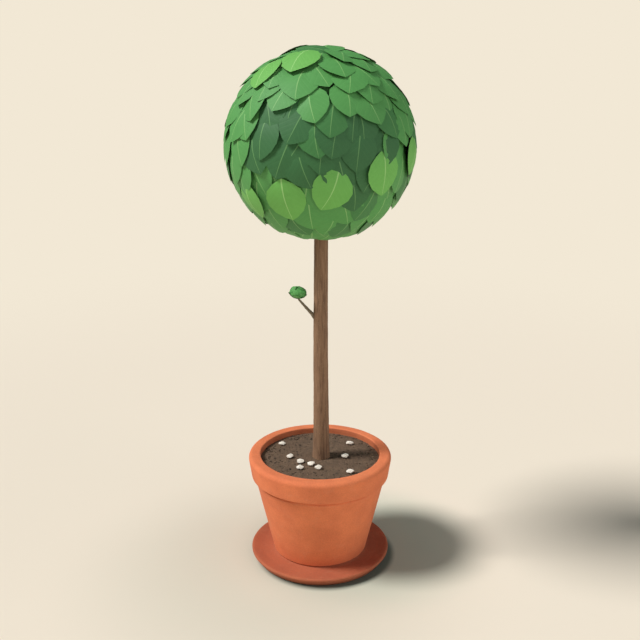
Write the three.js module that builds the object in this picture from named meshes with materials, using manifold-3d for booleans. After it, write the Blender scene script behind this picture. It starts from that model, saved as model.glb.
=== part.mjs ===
// Standard lollipop topiary: a clipped ball of broad evergreen leaves on one clear stem,
// grown in a clay pot that stands in its drip saucer.
//
// Millimetres, +Z up. The origin is the centre of the saucer's flat underside, the front is
// -Y, and the small side shoot grows towards -X.

import * as THREE from 'three';
import { mergeVertices } from 'three/addons/utils/BufferGeometryUtils.js';
import Module from 'manifold-3d';

const wasm = await Module();
wasm.setup();

// ---------------------------------------------------------------- driving dimensions

const SEAT_GAP = 0.3; // between pieces that touch
const ROUND_SEGMENTS = 48; // facets round the pot, the saucer and the compost
const UP = new THREE.Vector3( 0, 0, 1 );
const GOLDEN_TURN = Math.PI * ( 3 - Math.sqrt( 5 ) );

const SAUCER = {
	footRadius: 146.5,
	wallRadius: 157.6,
	height: 21,
	lipWidth: 9, // from the wall to the start of the channel
	lipRound: 4,
	channelDepth: 3.5,
	padRadius: 102, // the raised pad that the pot stands on
};

const POT = {
	footRadius: 106.5,
	footRound: 3,
	neckRadius: 146, // under the rim band
	rimRadius: 160, // widest, near the top of the band
	bandRadius: 154.5, // at the band's lower edge
	bandHeight: 50,
	height: 229.2,
	wall: 12.2,
	floor: 13,
	rimRound: 9,
	mouthRadius: 133.8,
};

const COMPOST = { belowRim: 14, crownHeight: 2, plateauRadius: 26 };

const TRUNK = {
	footX: 2.2,
	topX: 1.7,
	topRadius: 14.1,
	footRadius: 16.9,
	flare: 2, // added to the radius at the compost
	flareHeight: 30,
	lobes: 4, // root lobes round the foot
	lobeDepth: 0.07,
	sway: 0.5, // how far it wanders off its straight line
	sides: 18,
	rings: 13,
};

const CROWN = {
	centre: new THREE.Vector3( 0, 0, 932 ),
	reach: 198, // to the furthest leaf tips
	coreRadius: 181,
	coreDetail: 3,
	stemRadius: 12.5,
	stemReach: 60, // above the centre
	boughs: 12,
	boughRadius: 6,
	boughReach: 97,
	forkDrop: 25, // a bough leaves the stem this far below its own end
	sprays: 48,
	twigRadius: 3,
	twigReach: 172,
	leavesPerSpray: 4,
	spraySpread: 34, // from a spray's middle to the middles of its leaves
	looseFrom: 0.86, // leaves this near the very top, as a share of the way up, start to point every way
	seed: 20,
};

const LEAF = {
	length: 96,
	width: 70,
	thickness: 3,
	rootReach: 170, // the root lies sunk in the core
	tipDrop: 2, // the tip lies at least this far inside the crown's reach
	lift: 21, // how far the middle stands above a straight blade
	edgeLift: 12, // and how far the two edges do
	unevenness: 6, // in how deep the tips lie
	swing: 50, // degrees that a leaf may turn from pointing straight down the ball
};

const SHOOT = {
	height: 569, // where it leaves the trunk
	run: 30.4, // sideways
	rise: 38,
	rootRadius: 4.3,
	tipRadius: 2.2,
	sag: 1, // below a straight line
	sides: 10,
};

const TUFT = {
	stemRadius: 1.8,
	neckLength: 2, // in line with the shoot, before the stem turns up
	stemLength: 17,
	upright: new THREE.Vector3( - 0.34, - 0.05, 0.94 ).normalize(),
	leaves: 14,
	flattest: - 4, // degrees above level, for the lowest leaf
	steepest: 68, // and for the highest
	seed: 7,
};
const TUFT_LEAF = { length: 21.5, width: 17, thickness: 1, lift: 2.4, edgeLift: 1 };

// White stone chips lying on the compost, by place (x, y) and turn in degrees.
const CHIPS = [
	[ - 88, 64, 10 ], [ - 68, - 7, - 30 ], [ - 43, - 32, - 25 ], [ - 43, - 62, 15 ], [ - 20, - 45, - 20 ],
	[ - 4, - 62, 25 ], [ 69, 64, 5 ], [ 56, - 6, - 20 ], [ 65, - 81, 0 ],
];
const CHIP = { length: 19.5, depth: 14.5, height: 9.5, rough: 0.14, seed: 3 };

// ---------------------------------------------------------------- worked-out levels

const POT_FOOT = SAUCER.height + SEAT_GAP;
const RIM_TOP = POT_FOOT + POT.height;
const BAND_FOOT = RIM_TOP - POT.bandHeight;
const COMPOST_EDGE = RIM_TOP - COMPOST.belowRim;
const COMPOST_TOP = COMPOST_EDGE + COMPOST.crownHeight;
const TRUNK_FOOT = COMPOST_TOP + SEAT_GAP;
const TRUNK_TOP = CROWN.centre.z - CROWN.coreRadius - 3;

// ---------------------------------------------------------------- finishes

const finish = ( color, roughness ) => new THREE.MeshStandardMaterial( { color, roughness, metalness: 0 } );

const POT_CLAY = finish( 0xc8704a, 0.85 );
const SAUCER_CLAY = finish( 0xb96243, 0.85 );
const COMPOST_DARK = finish( 0x5c4a3c, 1 );
const BARK = finish( 0x7a6048, 0.9 );
const SHOOT_BARK = finish( 0x80705a, 0.85 );
const LEAF_GREEN = finish( 0x4f8a49, 0.6 );
const CHIP_WHITE = finish( 0xe9e2d6, 0.8 );

// ---------------------------------------------------------------- small helpers

/** A seeded stream of numbers from 0 to 1. */
function randomStream( seed ) {

	let state = seed >>> 0;
	return () => {

		state = ( state + 0x6d2b79f5 ) >>> 0;
		let mixed = Math.imul( state ^ ( state >>> 15 ), state | 1 );
		mixed = ( mixed + Math.imul( mixed ^ ( mixed >>> 7 ), mixed | 61 ) ) ^ mixed;
		return ( ( mixed ^ ( mixed >>> 14 ) ) >>> 0 ) / 4294967296;

	};

}

/** A closed geometry as a solid that can be joined and cut. */
function toSolid( geometry ) {

	let bare = geometry.clone();
	bare.deleteAttribute( 'normal' );
	bare.deleteAttribute( 'uv' );
	bare = mergeVertices( bare, 1e-4 );
	return new wasm.Manifold( new wasm.Mesh( {
		numProp: 3,
		vertProperties: new Float32Array( bare.attributes.position.array ),
		triVerts: new Uint32Array( bare.index.array ),
	} ) );

}

/** A geometry from flat lists of coordinates and of corner numbers. */
function toGeometry( positions, corners ) {

	const geometry = new THREE.BufferGeometry();
	geometry.setAttribute( 'position', new THREE.BufferAttribute( new Float32Array( positions ), 3 ) );
	geometry.setIndex( new THREE.BufferAttribute( new Uint32Array( corners ), 1 ) );
	geometry.computeVertexNormals();
	return geometry;

}

/** Many solids fused into one, in pairs. */
function fuse( solids ) {

	let row = solids;
	while ( row.length > 1 ) {

		const next = [];
		for ( let i = 0; i < row.length; i += 2 ) {

			next.push( i + 1 < row.length ? row[ i ].add( row[ i + 1 ] ) : row[ i ] );

		}

		row = next;

	}

	return row[ 0 ];

}

/** The outer skin of a fused solid: sealed hollows are filled and loose scraps are dropped. */
function outerSkin( solid ) {

	const { vertProperties, triVerts } = solid.getMesh();
	const parent = Array.from( { length: vertProperties.length / 3 }, ( _, i ) => i );
	const rootOf = ( i ) => {

		while ( parent[ i ] !== i ) i = parent[ i ] = parent[ parent[ i ] ];
		return i;

	};

	for ( let i = 0; i < triVerts.length; i += 3 ) {

		parent[ rootOf( triVerts[ i ] ) ] = rootOf( triVerts[ i + 1 ] );
		parent[ rootOf( triVerts[ i + 1 ] ) ] = rootOf( triVerts[ i + 2 ] );

	}

	const point = ( i ) => new THREE.Vector3().fromArray( vertProperties, 3 * i );
	const volumes = new Map();
	for ( let i = 0; i < triVerts.length; i += 3 ) {

		const shell = rootOf( triVerts[ i ] );
		const [ a, b, c ] = [ 0, 1, 2 ].map( ( k ) => point( triVerts[ i + k ] ) );
		volumes.set( shell, ( volumes.get( shell ) ?? 0 ) + a.dot( b.cross( c ) ) / 6 );

	}

	const [ outer ] = [ ...volumes ].reduce( ( best, shell ) => ( shell[ 1 ] > best[ 1 ] ? shell : best ) );
	const kept = [];
	for ( let i = 0; i < triVerts.length; i += 3 ) {

		if ( rootOf( triVerts[ i ] ) === outer ) kept.push( triVerts[ i ], triVerts[ i + 1 ], triVerts[ i + 2 ] );

	}

	const number = new Map();
	const positions = [];
	const corners = kept.map( ( old ) => {

		if ( ! number.has( old ) ) {

			number.set( old, number.size );
			positions.push( ...vertProperties.slice( 3 * old, 3 * old + 3 ) );

		}

		return number.get( old );

	} );
	return toGeometry( positions, corners );

}

/** A round piece turned about Z from its outline of [radius, height] pairs, foot first. */
function turned( outline ) {

	const profile = outline.map( ( [ radius, height ] ) => new THREE.Vector2( radius, height ) );
	return new THREE.LatheGeometry( profile, ROUND_SEGMENTS ).rotateX( Math.PI / 2 );

}

/** Points of an arc in an outline: centre, radius, and angles in degrees from +radius towards +height. */
function arc( radius, height, size, from, to, steps ) {

	return Array.from( { length: steps + 1 }, ( _, i ) => {

		const angle = THREE.MathUtils.degToRad( from + ( to - from ) * i / steps );
		return [ radius + size * Math.cos( angle ), height + size * Math.sin( angle ) ];

	} );

}

/**
 * A tapering limb: rings of corners along a line of points, closed by a flat cap at each end.
 * radiusAt( t, angle ) gives the radius at t from 0 to 1 along the limb. The rings of a level
 * limb all lie flat, and those of any other stand square to its line.
 */
function limb( points, radiusAt, sides, level = false ) {

	const positions = [];
	const corners = [];
	const side = new THREE.Vector3();
	const along = new THREE.Vector3();
	points.forEach( ( point, ring ) => {

		along.subVectors( points[ Math.min( ring + 1, points.length - 1 ) ], points[ Math.max( ring - 1, 0 ) ] );
		along.normalize();
		if ( level ) along.copy( UP );
		if ( ring === 0 ) side.set( 1, 0, 0 ).addScaledVector( along, - along.x ).normalize();
		if ( side.lengthSq() < 0.5 ) side.set( 0, 1, 0 );
		side.addScaledVector( along, - along.dot( side ) ).normalize();
		const across = new THREE.Vector3().crossVectors( along, side );
		for ( let i = 0; i < sides; i ++ ) {

			const angle = 2 * Math.PI * i / sides;
			const radius = radiusAt( ring / ( points.length - 1 ), angle );
			const corner = point.clone()
				.addScaledVector( side, radius * Math.cos( angle ) )
				.addScaledVector( across, radius * Math.sin( angle ) );
			positions.push( ...corner );

		}

	} );

	const last = ( points.length - 1 ) * sides;
	for ( let ring = 0; ring < points.length - 1; ring ++ ) {

		for ( let i = 0; i < sides; i ++ ) {

			const a = ring * sides + i;
			const b = ring * sides + ( i + 1 ) % sides;
			corners.push( a, b, a + sides, b, b + sides, a + sides );

		}

	}

	for ( let i = 1; i < sides - 1; i ++ ) {

		corners.push( 0, i + 1, i, last, last + i, last + i + 1 );

	}

	return toGeometry( positions, corners );

}

/** A straight tapering twig between two points. */
function twig( from, to, radius, tipRadius, sides = 3 ) {

	return limb( [ from, to ], ( t ) => radius + ( tipRadius - radius ) * t, sides );

}

/** One leaf of eight faces: a blade from root to tip, raised in the middle, that faces along out. */
function leaf( root, tip, out, size ) {

	const along = new THREE.Vector3().subVectors( tip, root );
	const across = new THREE.Vector3().crossVectors( along, out ).setLength( size.width / 2 );
	const up = new THREE.Vector3().crossVectors( across, along ).normalize();
	const middle = root.clone().addScaledVector( along, 0.52 ).addScaledVector( up, size.lift );
	const sides = middle.clone()
		.addScaledVector( up, size.edgeLift - size.lift )
		.addScaledVector( along, - 0.06 );
	const points = [
		root, tip,
		sides.clone().sub( across ), sides.clone().add( across ),
		middle.clone().addScaledVector( up, size.thickness / 2 ),
		middle.clone().addScaledVector( up, - size.thickness / 2 ),
	];
	const [ ROOT, TIP, LEFT, RIGHT, TOP, UNDER ] = [ 0, 1, 2, 3, 4, 5 ];
	const corners = [
		ROOT, RIGHT, TOP, RIGHT, TIP, TOP, TIP, LEFT, TOP, LEFT, ROOT, TOP,
		RIGHT, ROOT, UNDER, TIP, RIGHT, UNDER, LEFT, TIP, UNDER, ROOT, LEFT, UNDER,
	];
	return toGeometry( points.flatMap( ( point ) => [ ...point ] ), corners );

}

/** Directions spread evenly over a sphere, each nudged by the stream. */
function evenDirections( count, random, nudge ) {

	return Array.from( { length: count }, ( _, i ) => {

		const height = 1 - 2 * ( i + 0.5 ) / count;
		const ring = Math.sqrt( 1 - height * height );
		const turn = i * GOLDEN_TURN;
		const direction = new THREE.Vector3( ring * Math.cos( turn ), ring * Math.sin( turn ), height );
		const push = new THREE.Vector3( random() - 0.5, random() - 0.5, random() - 0.5 );
		return direction.addScaledVector( push, nudge ).normalize();

	} );

}

// ---------------------------------------------------------------- pot, saucer and compost

/** The drip saucer: a shallow dish with a rounded lip, and a raised pad under the pot. */
function saucer() {

	const { footRadius, wallRadius, height, lipWidth, lipRound, channelDepth, padRadius } = SAUCER;
	const channel = height - channelDepth;
	const lipInside = wallRadius - lipWidth;
	return turned( [
		[ 0, 0 ],
		[ footRadius, 0 ],
		...arc( wallRadius - lipRound, height - lipRound, lipRound, - 20, 90, 3 ),
		[ lipInside + 2, height - 0.4 ],
		[ lipInside - 6, channel + 0.5 ],
		[ padRadius + 12, channel ],
		[ padRadius + 2, channel + 0.6 ],
		[ padRadius, height ],
		[ 0, height ],
	] );

}

/** The clay pot: a straight tapering body under a thick, slightly flared rim band. */
function pot() {

	const { footRadius, footRound, neckRadius, wall, floor } = POT;
	const { rimRadius, rimRound, bandRadius, mouthRadius } = POT;
	const inside = POT_FOOT + floor;
	const rise = ( inside - POT_FOOT ) / ( BAND_FOOT - POT_FOOT );
	const floorRadius = footRadius + ( neckRadius - footRadius ) * rise - wall;
	return turned( [
		[ 0, POT_FOOT ],
		...arc( footRadius - footRound, POT_FOOT + footRound, footRound, - 90, 0, 2 ),
		[ neckRadius, BAND_FOOT - 1.5 ],
		[ neckRadius + 1.5, BAND_FOOT ],
		...arc( bandRadius - 3, BAND_FOOT + 3, 3, - 90, - 5, 2 ),
		...arc( rimRadius - rimRound, RIM_TOP - rimRound, rimRound, - 8, 90, 4 ),
		...arc( mouthRadius + 3, RIM_TOP - 3, 3, 90, 180, 2 ),
		[ mouthRadius, BAND_FOOT ],
		[ floorRadius + 4, inside + 1 ],
		[ floorRadius, inside ],
		[ 0, inside ],
	] );

}

/** The compost that fills the pot, very slightly mounded round the trunk. */
function compost() {

	const { neckRadius, footRadius, wall, floor, mouthRadius } = POT;
	const inside = POT_FOOT + floor;
	const rise = ( inside - POT_FOOT ) / ( BAND_FOOT - POT_FOOT );
	const floorRadius = footRadius + ( neckRadius - footRadius ) * rise - wall;
	return turned( [
		[ 0, inside + SEAT_GAP ],
		[ floorRadius - SEAT_GAP, inside + SEAT_GAP ],
		[ floorRadius + 4 - SEAT_GAP, inside + 1 + SEAT_GAP ],
		[ mouthRadius - SEAT_GAP, BAND_FOOT ],
		[ mouthRadius - SEAT_GAP, COMPOST_EDGE ],
		[ mouthRadius / 2, COMPOST_EDGE + 0.8 * COMPOST.crownHeight ],
		[ COMPOST.plateauRadius, COMPOST_TOP ],
		[ 0, COMPOST_TOP ],
	] );

}

/** How high the compost stands at a distance from the middle. */
function compostHeight( radius ) {

	const half = POT.mouthRadius / 2;
	const shoulder = COMPOST_EDGE + 0.8 * COMPOST.crownHeight;
	if ( radius > half ) return shoulder + ( COMPOST_EDGE - shoulder ) * ( radius - half ) / half;
	const inner = Math.max( radius, COMPOST.plateauRadius ) - COMPOST.plateauRadius;
	return COMPOST_TOP + ( shoulder - COMPOST_TOP ) * inner / ( half - COMPOST.plateauRadius );

}

/** A stone chip: a blunt rough pebble that lies on the compost, its lowest point a gap above it. */
function chip( [ x, y, turn ], random ) {

	const geometry = new THREE.IcosahedronGeometry( 1, 0 );
	geometry.deleteAttribute( 'normal' );
	geometry.deleteAttribute( 'uv' );
	const merged = mergeVertices( geometry, 1e-4 );
	const spot = new THREE.Vector3();
	const corner = merged.attributes.position;
	for ( let i = 0; i < corner.count; i ++ ) {

		spot.fromBufferAttribute( corner, i ).multiplyScalar( 1 + CHIP.rough * ( 2 * random() - 1 ) );
		corner.setXYZ( i, spot.x * CHIP.length / 2, spot.y * CHIP.depth / 2, spot.z * CHIP.height / 2 );

	}

	merged.rotateZ( THREE.MathUtils.degToRad( turn ) );
	merged.computeBoundingBox();
	merged.translate( x, y, compostHeight( Math.hypot( x, y ) ) + SEAT_GAP - merged.boundingBox.min.z );
	return merged;

}

// ---------------------------------------------------------------- trunk and side shoot

/** The middle of the trunk at a height, with its slight lean and sway. */
function trunkMiddle( height ) {

	const t = ( height - TRUNK_FOOT ) / ( TRUNK_TOP - TRUNK_FOOT );
	const lean = TRUNK.footX + ( TRUNK.topX - TRUNK.footX ) * t;
	return new THREE.Vector3( lean + TRUNK.sway * Math.sin( 2.6 * Math.PI * t ),
		TRUNK.sway * Math.sin( 1.7 * Math.PI * t ), height );

}

/** The trunk's radius at a height and angle, widest where it flares and lobes into its roots. */
function trunkRadius( height, angle ) {

	const t = ( height - TRUNK_FOOT ) / ( TRUNK_TOP - TRUNK_FOOT );
	const fade = Math.exp( - ( height - TRUNK_FOOT ) / TRUNK.flareHeight );
	const lobe = 1 + TRUNK.lobeDepth * fade * Math.cos( TRUNK.lobes * angle + 0.8 );
	return ( TRUNK.footRadius + ( TRUNK.topRadius - TRUNK.footRadius ) * t + TRUNK.flare * fade ) * lobe;

}

/** The trunk, from its flat cut on the compost to its tip inside the crown, grown by a clearance. */
function trunk( grow = 0 ) {

	const length = TRUNK_TOP - TRUNK_FOOT;
	const heightAt = ( t ) => TRUNK_FOOT + length * t ** 1.6;
	const heights = Array.from( { length: TRUNK.rings }, ( _, i ) => heightAt( i / ( TRUNK.rings - 1 ) ) );
	const radiusAt = ( t, angle ) => trunkRadius( heightAt( t ), angle ) + grow;
	return limb( heights.map( trunkMiddle ), radiusAt, TRUNK.sides, true );

}

/** The middle line of the side shoot, from inside the trunk to the shoot's tip. */
function shootLine() {

	const inside = trunkMiddle( SHOOT.height - 6 ).add( new THREE.Vector3( - 8, 0, 0 ) );
	const tip = new THREE.Vector3( TRUNK.footX - TRUNK.footRadius - SHOOT.run, - 2, SHOOT.height + SHOOT.rise );
	const bend = inside.clone().lerp( tip, 0.5 ).add( new THREE.Vector3( 0, 0, - SHOOT.sag ) );
	return new THREE.QuadraticBezierCurve3( inside, bend, tip ).getPoints( 4 );

}

/** The side shoot: one thin limb that rises from the trunk's side, cut clear of the trunk. */
function sideShoot() {

	const radiusAt = ( t ) => SHOOT.rootRadius + ( SHOOT.tipRadius - SHOOT.rootRadius ) * t;
	const whole = limb( shootLine(), radiusAt, SHOOT.sides );
	return outerSkin( toSolid( whole ).subtract( toSolid( trunk( SEAT_GAP ) ) ) );

}

/** The tuft of young leaves at the end of the side shoot, round a short stem that grows on from it. */
function shootTuft() {

	const random = randomStream( TUFT.seed );
	const { upright } = TUFT;
	const [ beforeTip, tip ] = shootLine().slice( - 2 );
	const onwards = tip.clone().sub( beforeTip ).normalize();
	const foot = tip.clone().addScaledVector( onwards, SEAT_GAP );
	const neck = foot.clone().addScaledVector( onwards, TUFT.neckLength );
	const top = neck.clone().addScaledVector( upright, TUFT.stemLength );
	const solids = [ toSolid( limb( [ foot, neck, top ], ( t ) => TUFT.stemRadius * ( 1 - 0.5 * t ), 6 ) ) ];
	const side = new THREE.Vector3( 1, 0, 0 ).addScaledVector( upright, - upright.x ).normalize();
	for ( let i = 0; i < TUFT.leaves; i ++ ) {

		const height = i / ( TUFT.leaves - 1 );
		const spread = side.clone().applyAxisAngle( upright, i * GOLDEN_TURN + 0.4 * random() );
		const rise = THREE.MathUtils.degToRad( TUFT.flattest + ( TUFT.steepest - TUFT.flattest ) * height );
		const aim = spread.clone().multiplyScalar( Math.cos( rise ) ).addScaledVector( upright, Math.sin( rise ) );
		const root = neck.clone().lerp( top, 0.1 + 0.6 * height );
		const leafTip = root.clone().addScaledVector( aim, TUFT_LEAF.length * ( 1 - 0.15 * height ) );
		const face = upright.clone().addScaledVector( spread, height );
		solids.push( toSolid( leaf( root, leafTip, face, TUFT_LEAF ) ) );

	}

	return outerSkin( fuse( solids ) );

}

// ---------------------------------------------------------------- crown

/** The way down the ball's surface at a direction, turned by an angle to one side. */
function downhill( direction, turn ) {

	const down = new THREE.Vector3( 0, 0, - 1 ).addScaledVector( direction, direction.z );
	if ( down.lengthSq() < 1e-4 ) down.set( 1, 0, 0 );
	return down.normalize().applyAxisAngle( direction, turn );

}

/** True where a blade between two points would come too near the trunk below the core. */
function meetsTrunk( root, tip, width ) {

	const spot = new THREE.Vector3();
	return [ 0.4, 0.6, 0.8, 1 ].some( ( t ) => {

		spot.lerpVectors( root, tip, t );
		const clear = TRUNK.footRadius + 3 + width * Math.min( 0.42, 1 - t );
		return spot.z < TRUNK_TOP + 12 && Math.hypot( spot.x, spot.y ) < clear;

	} );

}

/** The leaves of one spray, set round its middle and all hanging down the ball. */
function sprayLeaves( direction, random ) {

	const leaves = [];
	for ( let i = 0; i < CROWN.leavesPerSpray; i ++ ) {

		const turn = 2 * Math.PI * ( i + 0.4 * random() ) / CROWN.leavesPerSpray;
		const shift = new THREE.Vector3().crossVectors( direction, downhill( direction, turn ) ).normalize();
		const middle = direction.clone().applyAxisAngle( shift, CROWN.spraySpread / CROWN.reach );
		const loose = Math.max( 0, ( middle.z - CROWN.looseFrom ) / ( 1 - CROWN.looseFrom ) );
		const swing = LEAF.swing + ( 360 - LEAF.swing ) * loose;
		const way = downhill( middle, THREE.MathUtils.degToRad( swing * ( random() - 0.5 ) ) );
		const axis = new THREE.Vector3().crossVectors( middle, way ).normalize();
		const grown = 0.88 + 0.12 * random();
		const half = grown * LEAF.length / CROWN.reach / 2;
		const root = middle.clone().applyAxisAngle( axis, - half ).multiplyScalar( LEAF.rootReach );
		const tipReach = CROWN.reach - LEAF.tipDrop - LEAF.unevenness * random();
		const tip = middle.clone().applyAxisAngle( axis, half ).multiplyScalar( tipReach );
		root.add( CROWN.centre );
		tip.add( CROWN.centre );
		if ( meetsTrunk( root, tip, LEAF.width ) ) continue;
		leaves.push( leaf( root, tip, middle, { ...LEAF, width: LEAF.width * grown } ) );

	}

	return leaves;

}

/** The clipped ball: a stem that forks to boughs and twigs, a dense core, and leaves outside it. */
function crownFoliage() {

	const random = randomStream( CROWN.seed );
	const at = ( direction, reach ) => CROWN.centre.clone().addScaledVector( direction, reach );
	const foot = trunkMiddle( TRUNK_TOP ).addScaledVector( UP, SEAT_GAP );
	const stemTop = at( UP, CROWN.stemReach );
	const pieces = [ twig( foot, stemTop, CROWN.stemRadius, CROWN.stemRadius / 2, 12 ) ];

	const boughWays = evenDirections( CROWN.boughs, random, 0.2 );
	const boughEnds = boughWays.map( ( way ) => at( way, CROWN.boughReach ) );
	boughEnds.forEach( ( end ) => {

		const fork = stemTop.clone().setZ( Math.min( end.z, stemTop.z ) - CROWN.forkDrop );
		pieces.push( twig( fork, end, CROWN.boughRadius, CROWN.twigRadius, 5 ) );

	} );

	for ( const way of evenDirections( CROWN.sprays, random, 0.16 ) ) {

		const end = at( way, CROWN.twigReach );
		const nearer = ( a, b ) => ( b.distanceTo( end ) < a.distanceTo( end ) ? b : a );
		const fork = boughEnds.reduce( nearer );
		pieces.push( twig( fork, end, CROWN.twigRadius, CROWN.twigRadius / 2 ), ...sprayLeaves( way, random ) );

	}

	const core = new THREE.IcosahedronGeometry( CROWN.coreRadius, CROWN.coreDetail );
	core.translate( ...CROWN.centre );
	return outerSkin( fuse( [ toSolid( core ), ...pieces.map( toSolid ) ] ) );

}

// ---------------------------------------------------------------- assembly

/** A named piece of the plant. */
function piece( name, geometry, material ) {

	const mesh = new THREE.Mesh( geometry, material );
	mesh.name = name;
	return mesh;

}

const topiary = new THREE.Group();
topiary.add( piece( 'saucer', saucer(), SAUCER_CLAY ) );
topiary.add( piece( 'pot', pot(), POT_CLAY ) );
topiary.add( piece( 'compost', compost(), COMPOST_DARK ) );
topiary.add( piece( 'trunk', trunk(), BARK ) );
topiary.add( piece( 'side_shoot', sideShoot(), SHOOT_BARK ) );
topiary.add( piece( 'side_shoot_leaves', shootTuft(), LEAF_GREEN ) );
topiary.add( piece( 'crown_foliage', crownFoliage(), LEAF_GREEN ) );

const chipStream = randomStream( CHIP.seed );
CHIPS.forEach( ( place, i ) => {

	topiary.add( piece( `stone_chip_${ i + 1 }`, chip( place, chipStream ), CHIP_WHITE ) );

} );

export default topiary;
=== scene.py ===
"""The looks of a standard lollipop topiary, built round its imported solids.

One clear stem carries a clipped ball of broad evergreen leaves. It grows in a rimmed clay pot
that stands in a drip saucer. Everything is in metres with +Z up, the front is -Y, and the small
side shoot grows towards -X. MM turns the millimetres of a maker's drawing into metres.
"""
import logging
import math
from dataclasses import dataclass, field, replace
from enum import Enum
from typing import Any, Callable, Sequence

import bpy
import numpy as np
from mathutils import Matrix, Quaternion, Vector


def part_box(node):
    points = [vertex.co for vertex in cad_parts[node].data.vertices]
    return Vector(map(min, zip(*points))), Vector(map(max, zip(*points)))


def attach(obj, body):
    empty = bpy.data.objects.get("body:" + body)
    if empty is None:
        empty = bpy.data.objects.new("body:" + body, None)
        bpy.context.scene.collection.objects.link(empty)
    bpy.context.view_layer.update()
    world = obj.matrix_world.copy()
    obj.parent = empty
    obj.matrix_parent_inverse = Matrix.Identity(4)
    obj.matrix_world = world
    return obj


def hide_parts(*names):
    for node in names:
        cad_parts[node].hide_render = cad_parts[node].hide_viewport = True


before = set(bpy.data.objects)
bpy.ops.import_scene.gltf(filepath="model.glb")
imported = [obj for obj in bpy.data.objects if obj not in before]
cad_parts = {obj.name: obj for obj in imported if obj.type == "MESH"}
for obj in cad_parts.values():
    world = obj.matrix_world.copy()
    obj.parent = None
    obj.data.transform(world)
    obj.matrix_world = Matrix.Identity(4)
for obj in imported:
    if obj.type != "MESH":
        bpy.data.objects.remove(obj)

LOG = logging.getLogger("topiary")
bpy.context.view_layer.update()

MM = 0.001
UP = Vector((0, 0, 1))
GOLDEN_TURN = math.pi * (3 - math.sqrt(5))
BLADE_MAP = "blade"
WAVE_PHASE = 20  # how many times as fast as its coordinate the wave pattern's phase runs
FOOT_FLAT = 0.4 * MM  # relief starts above this, so that a foot stays flat
LEAF_CREASE = 11  # degrees: a leaf stays crisp along its midrib and smooth along its length
Outline = list[tuple[float, float]]
Inputs = dict[Any, Any]


class Slot(Enum):
    """The record's material slots."""

    POT = "pot_clay"
    SAUCER = "saucer_clay"
    COMPOST = "compost"
    BARK = "bark"
    SHOOT = "shoot_bark"
    LEAF = "leaf"
    CHIP = "chip_stone"


class LeafAge(Enum):
    """How old a sprig's leaves are, which sets their green."""

    YOUNG = "young"
    GROWN = "grown"
    DEEP = "deep"
    OLD = "old"
    INNER = "inner"


# ------------------------------------------------------------------ colour and nodes


def linear(code: str) -> tuple[float, float, float, float]:
    """Turns an sRGB hex colour to the linear values that a shader reads.

    Args:
        code: Six hex digits.

    Returns:
        Red, green and blue from 0 to 1, and an opaque alpha.
    """
    shares = [int(code[i:i + 2], 16) / 255 for i in (0, 2, 4)]
    red, green, blue = (s / 12.92 if s <= 0.04045 else ((s + 0.055) / 1.055) ** 2.4 for s in shares)
    return red, green, blue, 1.0


def empty_tree(owner: bpy.types.Material | bpy.types.World) -> bpy.types.NodeTree:
    """Clears a node tree.

    Args:
        owner: The material or the world that has it.

    Returns:
        The cleared tree.
    """
    owner.use_nodes = True
    owner.node_tree.nodes.clear()
    return owner.node_tree


def add_node(tree: bpy.types.NodeTree, kind: str, inputs: Inputs | None = None,
             **settings: Any) -> bpy.types.Node:
    """Adds one node with its settings and links.

    Args:
        tree: The node tree it joins.
        kind: The node's type name.
        inputs: Each input by name or number, with a value or the output that feeds it.
        **settings: The node's own properties.

    Returns:
        The new node.
    """
    node = tree.nodes.new(kind)
    for name, value in settings.items():
        setattr(node, name, value)
    for socket, value in (inputs or {}).items():
        if isinstance(value, bpy.types.NodeSocket):
            tree.links.new(value, node.inputs[socket])
        else:
            node.inputs[socket].default_value = value
    return node


def lay_over(tree: bpy.types.NodeTree, base: Any, colour: str, pattern: bpy.types.NodeSocket,
             span: tuple[float, float], share: float) -> bpy.types.NodeSocket:
    """Lays a colour over another where a pattern is strong.

    Args:
        tree: The node tree.
        base: The colour under it, as a value or the output that gives it.
        colour: The colour that lies over it, as sRGB hex.
        pattern: The output that gives the pattern.
        span: The pattern's values where the colour starts to show and where it shows most.
        share: How much of it shows there.

    Returns:
        The output that gives both.
    """
    strength = add_node(tree, "ShaderNodeMapRange", {
        "Value": pattern, "From Min": span[0], "From Max": span[1], "To Max": share})
    return add_node(tree, "ShaderNodeMixRGB", {
        "Fac": strength.outputs["Result"], "Color1": base,
        "Color2": linear(colour)}).outputs["Color"]


def per_metre(size: float) -> float:
    """The scale of a pattern whose features are that many metres across."""
    return 1 / size


# ------------------------------------------------------------------ finishes


@dataclass(frozen=True)
class Finish:
    """A finish of one real material.

    Attributes:
        name: The material's name.
        colour: Its main colour, as sRGB hex.
        roughness: How dull it is, from 0 to 1.
        ior: Its index of refraction.
    """

    name: str
    colour: str
    roughness: float
    ior: float = 1.5

    def material(self) -> bpy.types.Material:
        """Makes the material, with its patterns on Object coordinates.

        Returns:
            The material.
        """
        made = bpy.data.materials.new(self.name)
        made.diffuse_color = linear(self.colour)
        tree = empty_tree(made)
        place = add_node(tree, "ShaderNodeTexCoord").outputs["Object"]
        shader = add_node(tree, "ShaderNodeBsdfPrincipled", {
            "Base Color": linear(self.colour), "Roughness": self.roughness, "IOR": self.ior,
            **self.dress(tree, place)})
        add_node(tree, "ShaderNodeOutputMaterial", {"Surface": shader.outputs["BSDF"]})
        return made

    def dress(self, tree: bpy.types.NodeTree, place: bpy.types.NodeSocket) -> Inputs:
        """Adds this finish's patterns. A plain finish has none.

        Args:
            tree: The material's node tree.
            place: The output that gives the place on the piece.

        Returns:
            The shader's inputs that they feed.
        """
        return {}


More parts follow.
